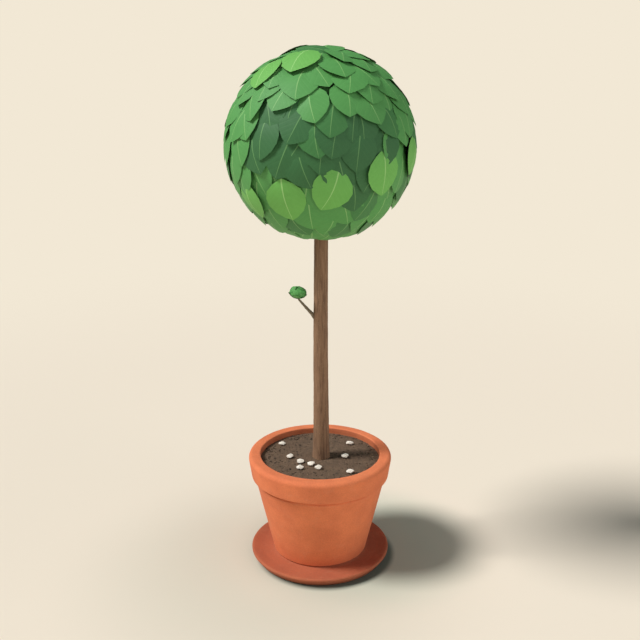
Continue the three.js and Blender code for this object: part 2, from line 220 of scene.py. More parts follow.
@dataclass(frozen=True)
class FiredClay(Finish):
    """Terracotta: unglazed earthenware, pressed in a mould and fired once.

    The eye gets a dull, finely sandy orange that is cloudy where the kiln's heat was uneven,
    dusted with pale salts where water dries out, and rubbed paler along its edges. Faint level
    rings are left by the turning mould.
    """

    cloud_colour: str = "c5643f"
    salt_colour: str = "dc9a74"
    rubbed_colour: str = "e3936b"
    cloud_size: float = 70 * MM
    cloud_share: float = 0.5
    salt_size: float = 22 * MM
    salt_share: float = 0.2
    rubbed_share: float = 0.55
    sand_size: float = 2.4 * MM  # the real grit is near 0.4 mm, too fine to show, so it is coarser
    ring_spacing: float = 31.4 * MM
    sand_depth: float = 0.35 * MM
    ring_depth: float = 0.12 * MM

    def dress(self, tree: bpy.types.NodeTree, place: bpy.types.NodeSocket) -> Inputs:
        """Clouds, salts, rubbed edges, sand and turning rings.

        Args:
            tree: The material's node tree.
            place: The output that gives the place on the piece.

        Returns:
            The shader's inputs that they feed.
        """
        clouds = add_node(tree, "ShaderNodeTexNoise", {
            "Vector": place, "Scale": per_metre(self.cloud_size), "Detail": 4, "Roughness": 0.6})
        salts = add_node(tree, "ShaderNodeTexNoise", {
            "Vector": place, "Scale": per_metre(self.salt_size), "Detail": 7, "Roughness": 0.72,
            "Distortion": 0.4})
        edges = add_node(tree, "ShaderNodeNewGeometry")
        colour = linear(self.colour)
        for over, pattern, span, share in (
                (self.cloud_colour, clouds.outputs["Fac"], (0.38, 0.68), self.cloud_share),
                (self.salt_colour, salts.outputs["Fac"], (0.52, 0.78), self.salt_share),
                (self.rubbed_colour, edges.outputs["Pointiness"], (0.515, 0.56),
                 self.rubbed_share)):
            colour = lay_over(tree, colour, over, pattern, span, share)
        sand = add_node(tree, "ShaderNodeTexNoise", {
            "Vector": place, "Scale": per_metre(self.sand_size), "Detail": 3, "Roughness": 0.7})
        grain = add_node(tree, "ShaderNodeMapRange", {
            "Value": sand.outputs["Fac"], "From Min": 0.3, "From Max": 0.7,
            "To Min": 0.9, "To Max": 1.08})
        sandy = add_node(tree, "ShaderNodeMixRGB", {
            "Fac": 1.0, "Color1": colour, "Color2": grain.outputs["Result"]},
            blend_type="MULTIPLY")
        rings = add_node(tree, "ShaderNodeTexWave", {
            "Vector": place, "Scale": per_metre(self.ring_spacing) * 2 * math.pi / WAVE_PHASE,
            "Distortion": 1.6, "Detail": 2, "Detail Scale": 0.6}, bands_direction="Z")
        sanded = add_node(tree, "ShaderNodeBump", {
            "Height": sand.outputs["Fac"], "Distance": self.sand_depth, "Strength": 0.6})
        turned = add_node(tree, "ShaderNodeBump", {
            "Height": rings.outputs["Fac"], "Distance": self.ring_depth, "Strength": 0.5,
            "Normal": sanded.outputs["Normal"]})
        return {"Base Color": sandy.outputs["Color"], "Normal": turned.outputs["Normal"]}


@dataclass(frozen=True)
class DampCompost(Finish):
    """Potting compost: milled bark and peat, watered and settled.

    The eye gets a dark, dead-matt brown of many small crumbs, some black with water and some
    reddish where bark shows.
    """

    wet_colour: str = "48392b"
    bark_colour: str = "79604a"
    patch_size: float = 24 * MM
    crumb_size: float = 4 * MM
    crumb_depth: float = 1.2 * MM

    def dress(self, tree: bpy.types.NodeTree, place: bpy.types.NodeSocket) -> Inputs:
        """Crumbs, each with a tone of its own, and damp patches.

        Args:
            tree: The material's node tree.
            place: The output that gives the place on the piece.

        Returns:
            The shader's inputs that they feed.
        """
        crumbs = add_node(tree, "ShaderNodeTexVoronoi", {
            "Vector": place, "Scale": per_metre(self.crumb_size), "Randomness": 1.0})
        tone = add_node(tree, "ShaderNodeSeparateColor", {"Color": crumbs.outputs["Color"]})
        patches = add_node(tree, "ShaderNodeTexNoise", {
            "Vector": place, "Scale": per_metre(self.patch_size), "Detail": 5, "Roughness": 0.65})
        barky = lay_over(tree, linear(self.colour), self.bark_colour, tone.outputs["Red"],
                         (0.55, 1.0), 0.6)
        damp = lay_over(tree, barky, self.wet_colour, patches.outputs["Fac"], (0.45, 0.7), 0.4)
        bumps = add_node(tree, "ShaderNodeBump", {
            "Height": crumbs.outputs["Distance"], "Distance": self.crumb_depth, "Strength": 0.7},
            invert=True)
        return {"Base Color": damp, "Normal": bumps.outputs["Normal"]}


@dataclass(frozen=True)
class LivingBark(Finish):
    """Bark of a young woody stem: thin, dry cork with fine upright furrows.

    The eye gets a matt warm brown, greyer on the ridges and darker in the furrows, with small
    pale breathing pores.
    """

    furrow_colour: str = "654834"
    ridge_colour: str = "a07c60"
    pore_colour: str = "b29877"
    furrow_width: float = 5 * MM
    furrow_length: float = 60 * MM
    pore_size: float = 7 * MM
    pore_flatness: float = 2.6
    grain_size: float = 1.6 * MM
    furrow_depth: float = 0.7 * MM

    def dress(self, tree: bpy.types.NodeTree, place: bpy.types.NodeSocket) -> Inputs:
        """Upright furrows, ridges and pores, and a fine corky grain.

        Args:
            tree: The material's node tree.
            place: The output that gives the place on the piece.

        Returns:
            The shader's inputs that they feed.
        """
        upright = add_node(tree, "ShaderNodeMapping", {
            "Vector": place, "Scale": (1, 1, self.furrow_width / self.furrow_length)})
        furrows = add_node(tree, "ShaderNodeTexNoise", {
            "Vector": upright.outputs["Vector"], "Scale": per_metre(self.furrow_width),
            "Detail": 5, "Roughness": 0.62, "Distortion": 0.6})
        flat = add_node(tree, "ShaderNodeMapping", {
            "Vector": place, "Scale": (1, 1, self.pore_flatness)})
        pores = add_node(tree, "ShaderNodeTexVoronoi", {
            "Vector": flat.outputs["Vector"], "Scale": per_metre(self.pore_size)})
        colour = linear(self.colour)
        for over, pattern, span, share in (
                (self.ridge_colour, furrows.outputs["Fac"], (0.54, 0.7), 0.7),
                (self.furrow_colour, furrows.outputs["Fac"], (0.5, 0.36), 0.85),
                (self.pore_colour, pores.outputs["Distance"], (0.17, 0.1), 0.7)):
            colour = lay_over(tree, colour, over, pattern, span, share)
        grain = add_node(tree, "ShaderNodeTexNoise", {
            "Vector": upright.outputs["Vector"], "Scale": per_metre(self.grain_size),
            "Detail": 3, "Roughness": 0.7})
        height = add_node(tree, "ShaderNodeMath", {
            0: furrows.outputs["Fac"], 1: grain.outputs["Fac"]}, operation="ADD")
        bumps = add_node(tree, "ShaderNodeBump", {
            "Height": height.outputs["Value"], "Distance": self.furrow_depth, "Strength": 0.6})
        return {"Base Color": colour, "Normal": bumps.outputs["Normal"]}


@dataclass(frozen=True)
class LeafBlade(Finish):
    """An evergreen leaf's upper side: a thick waxy skin over green flesh.

    The eye gets one even green with a soft satin sheen, faintly mottled, with sunken side veins
    that run forward from the midrib.
    """

    roughness: float = 0.62
    ior: float = 1.4
    mottle_colour: str = "3f7a3c"
    vein_colour: str = "7fae5f"
    mottle_size: float = 16 * MM
    mottle_share: float = 0.3
    veins: float = 7.0
    vein_slant: float = 0.85
    vein_share: float = 0.07
    vein_depth: float = 0.2 * MM

    def dress(self, tree: bpy.types.NodeTree, place: bpy.types.NodeSocket) -> Inputs:
        """A faint mottle, and the side veins.

        Args:
            tree: The material's node tree.
            place: The output that gives the place on the piece.

        Returns:
            The shader's inputs that they feed.
        """
        mottle = add_node(tree, "ShaderNodeTexNoise", {
            "Vector": place, "Scale": per_metre(self.mottle_size), "Detail": 3, "Roughness": 0.55})
        blade = add_node(tree, "ShaderNodeUVMap", uv_map=BLADE_MAP)
        spot = add_node(tree, "ShaderNodeSeparateXYZ", {0: blade.outputs["UV"]})
        aside = add_node(tree, "ShaderNodeMath", {0: spot.outputs["X"]}, operation="ABSOLUTE")
        slanted = add_node(tree, "ShaderNodeMath", {
            0: aside.outputs["Value"], 1: -self.vein_slant, 2: spot.outputs["Y"]},
            operation="MULTIPLY_ADD")
        counted = add_node(tree, "ShaderNodeMath", {
            0: slanted.outputs["Value"], 1: self.veins}, operation="MULTIPLY")
        wave = add_node(tree, "ShaderNodeMath", {
            0: counted.outputs["Value"], 1: 0.5}, operation="PINGPONG").outputs["Value"]
        mottled = lay_over(tree, linear(self.colour), self.mottle_colour, mottle.outputs["Fac"],
                           (0.42, 0.72), self.mottle_share)
        veined = lay_over(tree, mottled, self.vein_colour, wave, (0.13, 0.0), self.vein_share)
        sunk = add_node(tree, "ShaderNodeMapRange", {
            "Value": wave, "From Max": 0.28}, interpolation_type="SMOOTHSTEP")
        bumps = add_node(tree, "ShaderNodeBump", {
            "Height": sunk.outputs["Result"], "Distance": self.vein_depth, "Strength": 0.45})
        return {"Base Color": veined, "Normal": bumps.outputs["Normal"]}


@dataclass(frozen=True)
class CrushedMarble(Finish):
    """Crushed white marble: broken, then tumbled until the edges dull.

    The eye gets a chalky warm white with a few grey and buff stains and a sugary grain.
    """

    stain_colour: str = "c9bda6"
    stain_size: float = 9 * MM
    sugar_size: float = 1.5 * MM
    sugar_depth: float = 0.3 * MM

    def dress(self, tree: bpy.types.NodeTree, place: bpy.types.NodeSocket) -> Inputs:
        """Stains, and a sugary grain.

        Args:
            tree: The material's node tree.
            place: The output that gives the place on the piece.

        Returns:
            The shader's inputs that they feed.
        """
        stains = add_node(tree, "ShaderNodeTexNoise", {
            "Vector": place, "Scale": per_metre(self.stain_size), "Detail": 4})
        stained = lay_over(tree, linear(self.colour), self.stain_colour, stains.outputs["Fac"],
                           (0.5, 0.75), 0.55)
        sugar = add_node(tree, "ShaderNodeTexNoise", {
            "Vector": place, "Scale": per_metre(self.sugar_size), "Detail": 2})
        bumps = add_node(tree, "ShaderNodeBump", {
            "Height": sugar.outputs["Fac"], "Distance": self.sugar_depth, "Strength": 0.5})
        return {"Base Color": stained, "Normal": bumps.outputs["Normal"]}


POT_CLAY = FiredClay("terracotta_pot", "e47e4f", 0.88)
# painted shade: a darker copy of the pot's clay for the inside of its mouth, where shade falls
POT_INSIDE_PAINTED_SHADE = FiredClay("terracotta_inside_painted_shade", "cb7046", 0.85, cloud_colour="a85439",
                       salt_colour="b97a58", rubbed_colour="c9764e")
SAUCER_CLAY = FiredClay("terracotta_saucer", "b15e3d", 0.9, cloud_colour="9c5035",
                        salt_colour="c68c6c", rubbed_colour="c87a55")
COMPOST_EARTH = DampCompost("damp_bark_compost", "644f3d", 0.96)
CRUMB_TONES = (Finish("wet_peat_crumb", "4c3e31", 0.95), Finish("bark_crumb", "6c5542", 0.93),
               Finish("dry_fibre_crumb", "7c6751", 0.93))
STEM_BARK = LivingBark("living_stem_bark", "89684d", 0.88)
SHOOT_BARK = LivingBark("young_shoot_bark", "80715b", 0.8, furrow_colour="6a5c48",
                        ridge_colour="93846c", furrow_width=2 * MM, furrow_length=14 * MM,
                        pore_size=3.5 * MM, furrow_depth=0.25 * MM)
TWIG_BARK = Finish("green_twig_bark", "566040", 0.75)
LEAF_UNDERSIDE = Finish("leaf_underside", "6f9a5c", 0.7, 1.45)
WHITE_MARBLE = CrushedMarble("crushed_white_marble", "f6ebdc", 0.82)
BLADES = {age: LeafBlade(f"leaf_{age.value}", colour, mottle_colour=mottle, vein_colour=vein)
          for age, colour, mottle, vein in (
              (LeafAge.YOUNG, "6fb455", "63a64b", "98cd78"),
              (LeafAge.GROWN, "579a50", "4d8d48", "82b76b"),
              (LeafAge.DEEP, "447f44", "3c743d", "6c9f5c"),
              (LeafAge.OLD, "3a6d3e", "346338", "5f9054"),
              # painted light in part: the inner leaves' own green is lifted above the deep and old
              # greens, so the ball's shaded inside doesn't show black
              (LeafAge.INNER, "4a884b", "427b44", "689b5c"))}
BLADES[LeafAge.INNER] = replace(BLADES[LeafAge.INNER], roughness=0.66)
TUFT_BLADE = replace(BLADES[LeafAge.GROWN], name="leaf_of_tuft", mottle_size=5 * MM,
                     vein_depth=0.04 * MM)

# ------------------------------------------------------------------ modelling helpers


def deselect_all() -> None:
    """Clears the selection, in object mode."""
    if bpy.context.mode != "OBJECT":
        bpy.ops.object.mode_set(mode="OBJECT")
    bpy.ops.object.select_all(action="DESELECT")


def take(piece: bpy.types.Object) -> None:
    """Selects one piece alone and makes it active.

    Args:
        piece: The piece.
    """
    deselect_all()
    piece.select_set(True)
    bpy.context.view_layer.objects.active = piece


def pick_vertices(piece: bpy.types.Object, wanted: Callable[[Vector], bool]) -> None:
    """Selects the vertices that a test of their place asks for, and stays in edit mode.

    Args:
        piece: The piece in edit mode.
        wanted: Says of a vertex's place whether it is selected.
    """
    bpy.ops.mesh.select_mode(type="VERT")
    bpy.ops.mesh.select_all(action="DESELECT")
    bpy.ops.object.mode_set(mode="OBJECT")
    for vertex in piece.data.vertices:
        vertex.select = wanted(vertex.co)
    bpy.ops.object.mode_set(mode="EDIT")


def arc(radius: float, height: float, size: float, start: float, stop: float,
        steps: int) -> Outline:
    """Points of an arc in an outline.

    Args:
        radius: The arc centre's distance from the axis.
        height: The arc centre's height.
        size: The arc's own radius.
        start: First angle, in degrees from outwards towards up.
        stop: Last angle.
        steps: Into how many parts it is cut.

    Returns:
        The points, both ends included.
    """
    angles = (math.radians(start + (stop - start) * i / steps) for i in range(steps + 1))
    return [(radius + size * math.cos(a), height + size * math.sin(a)) for a in angles]


def finely(outline: Outline, step: float) -> Outline:
    """The same outline with its long stretches cut into even steps.

    Args:
        outline: The (radius, height) pairs.
        step: No stretch stays longer than this.

    Returns:
        The finer outline.
    """
    fine = [outline[0]]
    for (r0, h0), (r1, h1) in zip(outline, outline[1:]):
        count = max(1, math.ceil(math.hypot(r1 - r0, h1 - h0) / step))
        fine += [(r0 + (r1 - r0) * i / count, h0 + (h1 - h0) * i / count)
                 for i in range(1, count + 1)]
    return fine


def throw_on_wheel(name: str, outline: Outline, segments: int) -> bpy.types.Object:
    """Raises a round closed piece ring by ring, as on a potter's wheel.

    Args:
        name: The piece's name.
        outline: (radius, height) pairs from the foot's edge round to the last ring inside.
        segments: How many sides each ring has.

    Returns:
        The closed piece, its faces outwards.
    """
    (radius, height), *rest = outline
    deselect_all()
    bpy.ops.mesh.primitive_circle_add(vertices=segments, radius=radius, fill_type="NOTHING",
                                      location=(0, 0, height))
    piece = bpy.context.object
    piece.name = piece.data.name = name
    bpy.ops.object.transform_apply(location=True)
    bpy.ops.object.mode_set(mode="EDIT")
    bpy.ops.mesh.select_mode(type="EDGE")
    bpy.ops.mesh.select_all(action="SELECT")
    for next_radius, next_height in rest:
        bpy.ops.mesh.extrude_region_move(
            TRANSFORM_OT_translate={"value": (0, 0, next_height - height)})
        share = next_radius / radius
        bpy.ops.transform.resize(value=(share, share, 1), center_override=(0, 0, next_height))
        radius, height = next_radius, next_height
    bpy.ops.mesh.select_all(action="SELECT")
    bpy.ops.mesh.fill_holes(sides=0)
    bpy.ops.mesh.select_all(action="SELECT")
    bpy.ops.mesh.normals_make_consistent(inside=False)
    bpy.ops.object.mode_set(mode="OBJECT")
    return piece


def between_levels(piece: bpy.types.Object, low: float, high: float = math.inf) -> str:
    """Groups a piece's vertices between two heights.

    Args:
        piece: The piece.
        low: The height that they lie above.
        high: The height that they lie below.

    Returns:
        The vertex group's name.
    """
    group = piece.vertex_groups.new(name="between_levels")
    group.add([v.index for v in piece.data.vertices if low < v.co.z < high], 1.0, "ADD")
    return group.name


def roughen(piece: bpy.types.Object, grain: float, depth: float, group: str = "",
            direction: str = "NORMAL", stretch: float = 1.0, detail: int = 2) -> None:
    """Gives a piece real relief from a cloudy texture, and applies it.

    Args:
        piece: The piece.
        grain: The size of the relief's features.
        depth: From its lowest to its highest.
        group: The vertex group that it is limited to, if any.
        direction: Along the normals, or along Z.
        stretch: How many times longer the features are upright than across.
        detail: How many finer octaves it has.
    """
    texture = bpy.data.textures.new(f"{piece.name}_relief", "CLOUDS")
    texture.noise_scale = grain
    texture.noise_depth = detail
    deselect_all()
    bpy.ops.object.empty_add()
    gauge = bpy.context.object
    gauge.scale = (1, 1, stretch)
    take(piece)
    relief = piece.modifiers.new("relief", "DISPLACE")
    relief.texture = texture
    relief.texture_coords = "OBJECT"
    relief.texture_coords_object = gauge
    relief.direction = direction
    relief.strength = depth
    relief.mid_level = 0.5
    relief.vertex_group = group
    bpy.context.view_layer.update()
    bpy.ops.object.modifier_apply(modifier=relief.name)
    bpy.data.objects.remove(gauge)
    bpy.data.textures.remove(texture)


def smooth(piece: bpy.types.Object, angle: float = 40) -> None:
    """Shades a piece smooth, with edges sharper than the angle in degrees left crisp."""
    take(piece)
    bpy.ops.object.shade_smooth_by_angle(angle=math.radians(angle))


def hand_over(piece: bpy.types.Object, slot: Slot, finishes: Sequence[bpy.types.Material],
              *nodes: str) -> None:
    """Dresses a finished piece and ties it to the frame.

    Args:
        piece: The piece.
        slot: The record's slot for its finish. It is not used.
        finishes: Its materials, in the order of its faces' material numbers.
        *nodes: The solids that it stands for.
    """
    for material in finishes:
        piece.data.materials.append(material)
    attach(piece, "root")
    if nodes:
        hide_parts(*nodes)
    LOG.info("%s: %d faces", piece.name, len(piece.data.polygons))


class Stream:
    """A seeded stream of numbers from 0 to 1, the one that the solids are grown with."""

    def __init__(self, seed: int) -> None:
        """Starts the stream at a seed."""
        self.state = seed

    def __call__(self) -> float:
        """Draws the next number.

        Returns:
            The number, from 0 to 1.
        """
        mask = 0xFFFFFFFF
        self.state = (self.state + 0x6D2B79F5) & mask
        mixed = ((self.state ^ (self.state >> 15)) * (self.state | 1)) & mask
        mixed ^= (mixed + ((mixed ^ (mixed >> 7)) * (mixed | 61))) & mask
        return (mixed ^ (mixed >> 14)) / 4294967296

    def between(self, low: float, high: float) -> float:
        """The next number, from low to high."""
        return low + (high - low) * self()


@dataclass
class Bundle:
    """Many small shapes gathered into one joined mesh.

    Attributes:
        places: The vertices gathered so far.
        faces: The faces, as lists of vertex numbers.
        finishes: Each face's material number.
        marks: Where each vertex lies on its own blade, across and along, for leaves.
        count: How many vertices there are.
    """

    places: list[np.ndarray] = field(default_factory=list)
    faces: list[tuple[int, ...]] = field(default_factory=list)
    finishes: list[int] = field(default_factory=list)
    marks: list[np.ndarray] = field(default_factory=list)
    count: int = 0

    def add(self, places: np.ndarray, faces: Sequence[tuple[int, ...]],
            finishes: Sequence[int]) -> None:
        """Adds one shape.

        Args:
            places: Its vertices, one row each.
            faces: Its faces, by its own vertex numbers.
            finishes: Each face's material number.
        """
        self.places.append(places)
        self.faces += [tuple(corner + self.count for corner in face) for face in faces]
        self.finishes += finishes
        self.count += len(places)

    def add_limb(self, line: Sequence[Vector], radii: Sequence[float], sides: int) -> None:
        """Adds a tapering limb along a line of points, closed at both ends.

        Args:
            line: The points of its middle line.
            radii: Its radius at each point.
            sides: How many sides it has.
        """
        rings = []
        side = Vector((1, 0, 0))
        last = len(line) - 1
        for i, (point, radius) in enumerate(zip(line, radii)):
            along = (line[min(i + 1, last)] - line[max(i - 1, 0)]).normalized()
            side = side - along * side.dot(along)
            if side.length < 0.1:
                side = along.orthogonal()
            side.normalize()
            across = along.cross(side)
            turns = (2 * math.pi * k / sides for k in range(sides))
            rings += [point + side * (radius * math.cos(a)) + across * (radius * math.sin(a))
                      for a in turns]
        faces = [(r * sides + k, r * sides + (k + 1) % sides,
                  (r + 1) * sides + (k + 1) % sides, (r + 1) * sides + k)
                 for r in range(last) for k in range(sides)]
        faces.append(tuple(reversed(range(sides))))
        faces.append(tuple(last * sides + k for k in range(sides)))
        self.add(np.array(rings), faces, [0] * len(faces))

    def piece(self, name: str, crisp: float) -> bpy.types.Object:
        """Makes the joined mesh.

        Args:
            name: The piece's name.
            crisp: Edges sharper than this many degrees stay crisp.

        Returns:
            The piece, shaded smooth elsewhere.
        """
        mesh = bpy.data.meshes.new(name)
        mesh.from_pydata(np.concatenate(self.places).tolist(), [], self.faces)
        mesh.polygons.foreach_set("material_index", np.array(self.finishes, np.int32))
        if self.marks:
            corners = np.empty(len(mesh.loops), np.int32)
            mesh.loops.foreach_get("vertex_index", corners)
            blade_map = mesh.uv_layers.new(name=BLADE_MAP)
            blade_map.data.foreach_set("uv", np.concatenate(self.marks)[corners].ravel())
        mesh.update()
        piece = bpy.data.objects.new(name, mesh)
        bpy.context.scene.collection.objects.link(piece)
        smooth(piece, crisp)
        return piece


# ------------------------------------------------------------------ saucer, pot and compost


@dataclass
class Saucer:
    """The drip saucer: a shallow dish with a rounded lip and a pad that the pot stands on."""

    foot_radius: float = 146.5 * MM
    wall_radius: float = 157.6 * MM
    lip_width: float = 9 * MM
    lip_round: float = 4 * MM
    channel_depth: float = 3.5 * MM
    pad_radius: float = 102 * MM
    segments: int = 160

    def outline(self) -> Outline:
        """Draws the saucer's outline.

        Returns:
            The outline from the foot's edge, over the lip, to the middle of the pad.
        """
        low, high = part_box("saucer")
        top = high.z
        channel = top - self.channel_depth
        lip_inside = self.wall_radius - self.lip_width
        return [
            (self.foot_radius - 1.5 * MM, low.z), (self.foot_radius, low.z + 0.6 * MM),
            *arc(self.wall_radius - self.lip_round, top - self.lip_round, self.lip_round,
                 -24, 90, 8),
            (lip_inside + 1 * MM, top - 0.4 * MM), (lip_inside - 7 * MM, channel + 1.9 * MM),
            (lip_inside - 17 * MM, channel + 0.4 * MM), (self.pad_radius + 12 * MM, channel),
            (self.pad_radius + 4 * MM, channel + 0.5 * MM),
            (self.pad_radius + 1.2 * MM, top - 0.8 * MM), (self.pad_radius, top), (4 * MM, top),
        ]

    def build(self) -> None:
        """Models and dresses the saucer."""
        piece = throw_on_wheel("drip_saucer", finely(self.outline(), 5 * MM), self.segments)
        roughen(piece, 45 * MM, 0.5 * MM, between_levels(piece, FOOT_FLAT), detail=1)
        smooth(piece)
        hand_over(piece, Slot.SAUCER, [SAUCER_CLAY.material()], "saucer")


@dataclass
class Pot:
    """The clay pot: a straight tapering body under a thick, slightly flared rim band."""

    foot_radius: float = 106.5 * MM
    foot_round: float = 3 * MM
    neck_radius: float = 146 * MM
    rim_radius: float = 160 * MM
    band_radius: float = 154.5 * MM
    band_height: float = 50 * MM
    band_round: float = 3 * MM
    rim_round: float = 9 * MM
    mouth_radius: float = 133.8 * MM
    mouth_round: float = 3 * MM
    wall: float = 12.2 * MM
    floor: float = 13 * MM
    segments: int = 160

    def outline(self) -> Outline:
        """Draws the pot's outline.

        Returns:
            The outline from the foot's edge, over the rim, down inside to the floor.
        """
        low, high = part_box("pot")
        top, band_foot = high.z, high.z - self.band_height
        inside = low.z + self.floor
        rise = self.floor / (band_foot - low.z)
        floor_radius = self.foot_radius + (self.neck_radius - self.foot_radius) * rise - self.wall
        return [
            *arc(self.foot_radius - self.foot_round, low.z + self.foot_round, self.foot_round,
                 -90, 0, 4),
            (self.neck_radius - 0.7 * MM, band_foot - 9 * MM),
            (self.neck_radius - 3 * MM, band_foot - 4.5 * MM),
            (self.neck_radius - 2.4 * MM, band_foot - 1 * MM),
            (self.neck_radius + 1.5 * MM, band_foot),
            *arc(self.band_radius - self.band_round, band_foot + self.band_round,
                 self.band_round, -90, -5, 5),
            *arc(self.rim_radius - self.rim_round, top - self.rim_round, self.rim_round,
                 -8, 90, 10),
            *arc(self.mouth_radius + self.mouth_round, top - self.mouth_round, self.mouth_round,
                 90, 180, 5),
            (self.mouth_radius, band_foot), (floor_radius + 4 * MM, inside + 1 * MM),
            (floor_radius, inside), (4 * MM, inside),
        ]

    def build(self) -> None:
        """Models and dresses the pot."""
        piece = throw_on_wheel("clay_pot", finely(self.outline(), 6 * MM), self.segments)
        above = between_levels(piece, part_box("pot")[0].z + FOOT_FLAT)
        roughen(piece, 60 * MM, 0.8 * MM, above, detail=1)
        smooth(piece)
        # the mouth's inner faces take the darker clay, which is painted shade
        for face in piece.data.polygons:
            inwards = face.normal.xy.dot(face.center.xy) < 0
            face.material_index = inwards and face.center.xy.length < self.mouth_radius + 0.6 * MM
        hand_over(piece, Slot.POT, [POT_CLAY.material(), POT_INSIDE_PAINTED_SHADE.material()], "pot")


@dataclass
class Compost:
    """The compost: a settled bed with a crumbly skin, and loose crumbs lying on it."""

    side_radius: float = 133.4 * MM
    skirt_radius: float = 129.4 * MM
    foot_share: float = 0.6
    skirt_drop: float = 60 * MM
    crown_height: float = 2 * MM
    plateau_radius: float = 26 * MM
    segments: int = 160
    ring_step: float = 2.6 * MM
    crumbs: int = 1100
    crumb_sizes: tuple[float, float] = (2.2 * MM, 7.5 * MM)
    crumb_raggedness: float = 0.5
    edge_clear: float = 3 * MM
    trunk_clear: float = 21 * MM
    seed: int = 5

    def build(self) -> None:
        """Models and dresses the bed and its crumbs."""
        low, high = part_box("compost")
        edge = high.z - self.crown_height
        outline = finely([
            (self.side_radius * 0.99, edge - 6 * MM), (self.side_radius, edge - 5 * MM),
            (self.side_radius, edge), (self.side_radius / 2, edge + 0.8 * self.crown_height),
            (self.plateau_radius, high.z), (3 * MM, high.z)], self.ring_step)
        foot = [(-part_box("pot")[0].x * self.foot_share, low.z),
                (self.skirt_radius, edge - self.skirt_drop)]
        piece = throw_on_wheel("compost_bed", foot + outline, self.segments)
        top = between_levels(piece, edge - 1 * MM)
        roughen(piece, 26 * MM, 2.4 * MM, top, direction="Z", detail=1)
        roughen(piece, 6 * MM, 2.2 * MM, top, direction="Z", detail=2)
        smooth(piece, 60)
        hand_over(piece, Slot.COMPOST, [COMPOST_EARTH.material()], "compost")
        self.scatter(high.z - 1.4 * MM)

    def scatter(self, level: float) -> None:
        """Strews the loose crumbs.

        Args:
            level: The height that they lie at.
        """
        draw = Stream(self.seed)
        deselect_all()
        bpy.ops.mesh.primitive_ico_sphere_add(subdivisions=1, radius=0.5)
        pattern = bpy.context.object
        shape = np.array([v.co for v in pattern.data.vertices])
        faces = [tuple(p.vertices) for p in pattern.data.polygons]
        bpy.data.objects.remove(pattern)
        bundle = Bundle()
        for _ in range(self.crumbs):
            radius = (self.side_radius - self.edge_clear) * math.sqrt(draw())
            bearing = draw.between(0, 2 * math.pi)
            small, large = self.crumb_sizes
            size = small + (large - small) * draw() ** 3
            turn = Quaternion((draw() - 0.5, draw() - 0.5, draw() - 0.5), draw.between(0, 6))
            ragged = np.array([1 + self.crumb_raggedness * (draw() - 0.5) for _ in shape])[:, None]
            squash = np.array((1, draw.between(0.45, 0.9), draw.between(0.35, 0.7)))
            tone = int(draw() * draw() * len(CRUMB_TONES))
            if radius < self.trunk_clear:
                continue
            spot = Vector((radius * math.cos(bearing), radius * math.sin(bearing), level))
            places = (shape * ragged * squash * size) @ np.array(turn.to_matrix()).T + spot
            bundle.add(places, faces, [tone] * len(faces))
        piece = bundle.piece("compost_crumbs", 25)
        hand_over(piece, Slot.COMPOST, [tone.material() for tone in CRUMB_TONES])


@dataclass
class StoneChips:
    """The white marble chips that lie on the compost, each broken to its own shape."""

    breaks: int = 9
    break_depths: tuple[float, float] = (0.62, 0.88)
    worn: float = 0.9 * MM
    seed: int = 11

    def build(self) -> None:
        """Models and dresses every chip."""
        draw = Stream(self.seed)
        marble = WHITE_MARBLE.material()
        for node in sorted(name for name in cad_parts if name.startswith("stone_chip_")):
            piece = self.chip(node, draw)
            hand_over(piece, Slot.CHIP, [marble], node)

    def chip(self, node: str, draw: Stream) -> bpy.types.Object:
        """Breaks one chip out of a ball.

        Args:
            node: The solid that it stands for.
            draw: The stream that its breaks come from.

        Returns:
            The chip, as large as its solid and where that lies.
        """
        low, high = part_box(node)
        size = (high - low) / 2
        deselect_all()
        bpy.ops.mesh.primitive_ico_sphere_add(subdivisions=3, radius=1.0)
        piece = bpy.context.object
        piece.name = piece.data.name = node.replace("stone_chip", "marble_chip")
        bpy.ops.object.mode_set(mode="EDIT")
        for i in range(self.breaks):
            height = 1 - 2 * (i + 0.5) / self.breaks
            turn = i * GOLDEN_TURN + draw.between(-0.5, 0.5)
            flat = math.sqrt(1 - height * height)
            way = Vector((flat * math.cos(turn), flat * math.sin(turn), height))
            bpy.ops.mesh.select_all(action="SELECT")
            bpy.ops.mesh.bisect(plane_co=way * draw.between(*self.break_depths), plane_no=way,
                                clear_outer=True, use_fill=True)
        bpy.ops.object.mode_set(mode="OBJECT")
        corners = np.array([v.co for v in piece.data.vertices])
        middle, half = (corners.max(0) + corners.min(0)) / 2, np.ptp(corners, axis=0) / 2
        scale = Vector(size[k] / half[k] for k in range(3))
        fit = Matrix.Translation((low + high) / 2) @ Matrix.Diagonal((*scale, 1))
        piece.data.transform(fit @ Matrix.Translation(-Vector(middle)))
        take(piece)
        wear = piece.modifiers.new("worn edges", "BEVEL")
        wear.width = self.worn
        wear.segments = 2
        wear.limit_method = "ANGLE"
        bpy.ops.object.modifier_apply(modifier=wear.name)
        smooth(piece, 35)
        return piece


# ------------------------------------------------------------------ trunk and side shoot


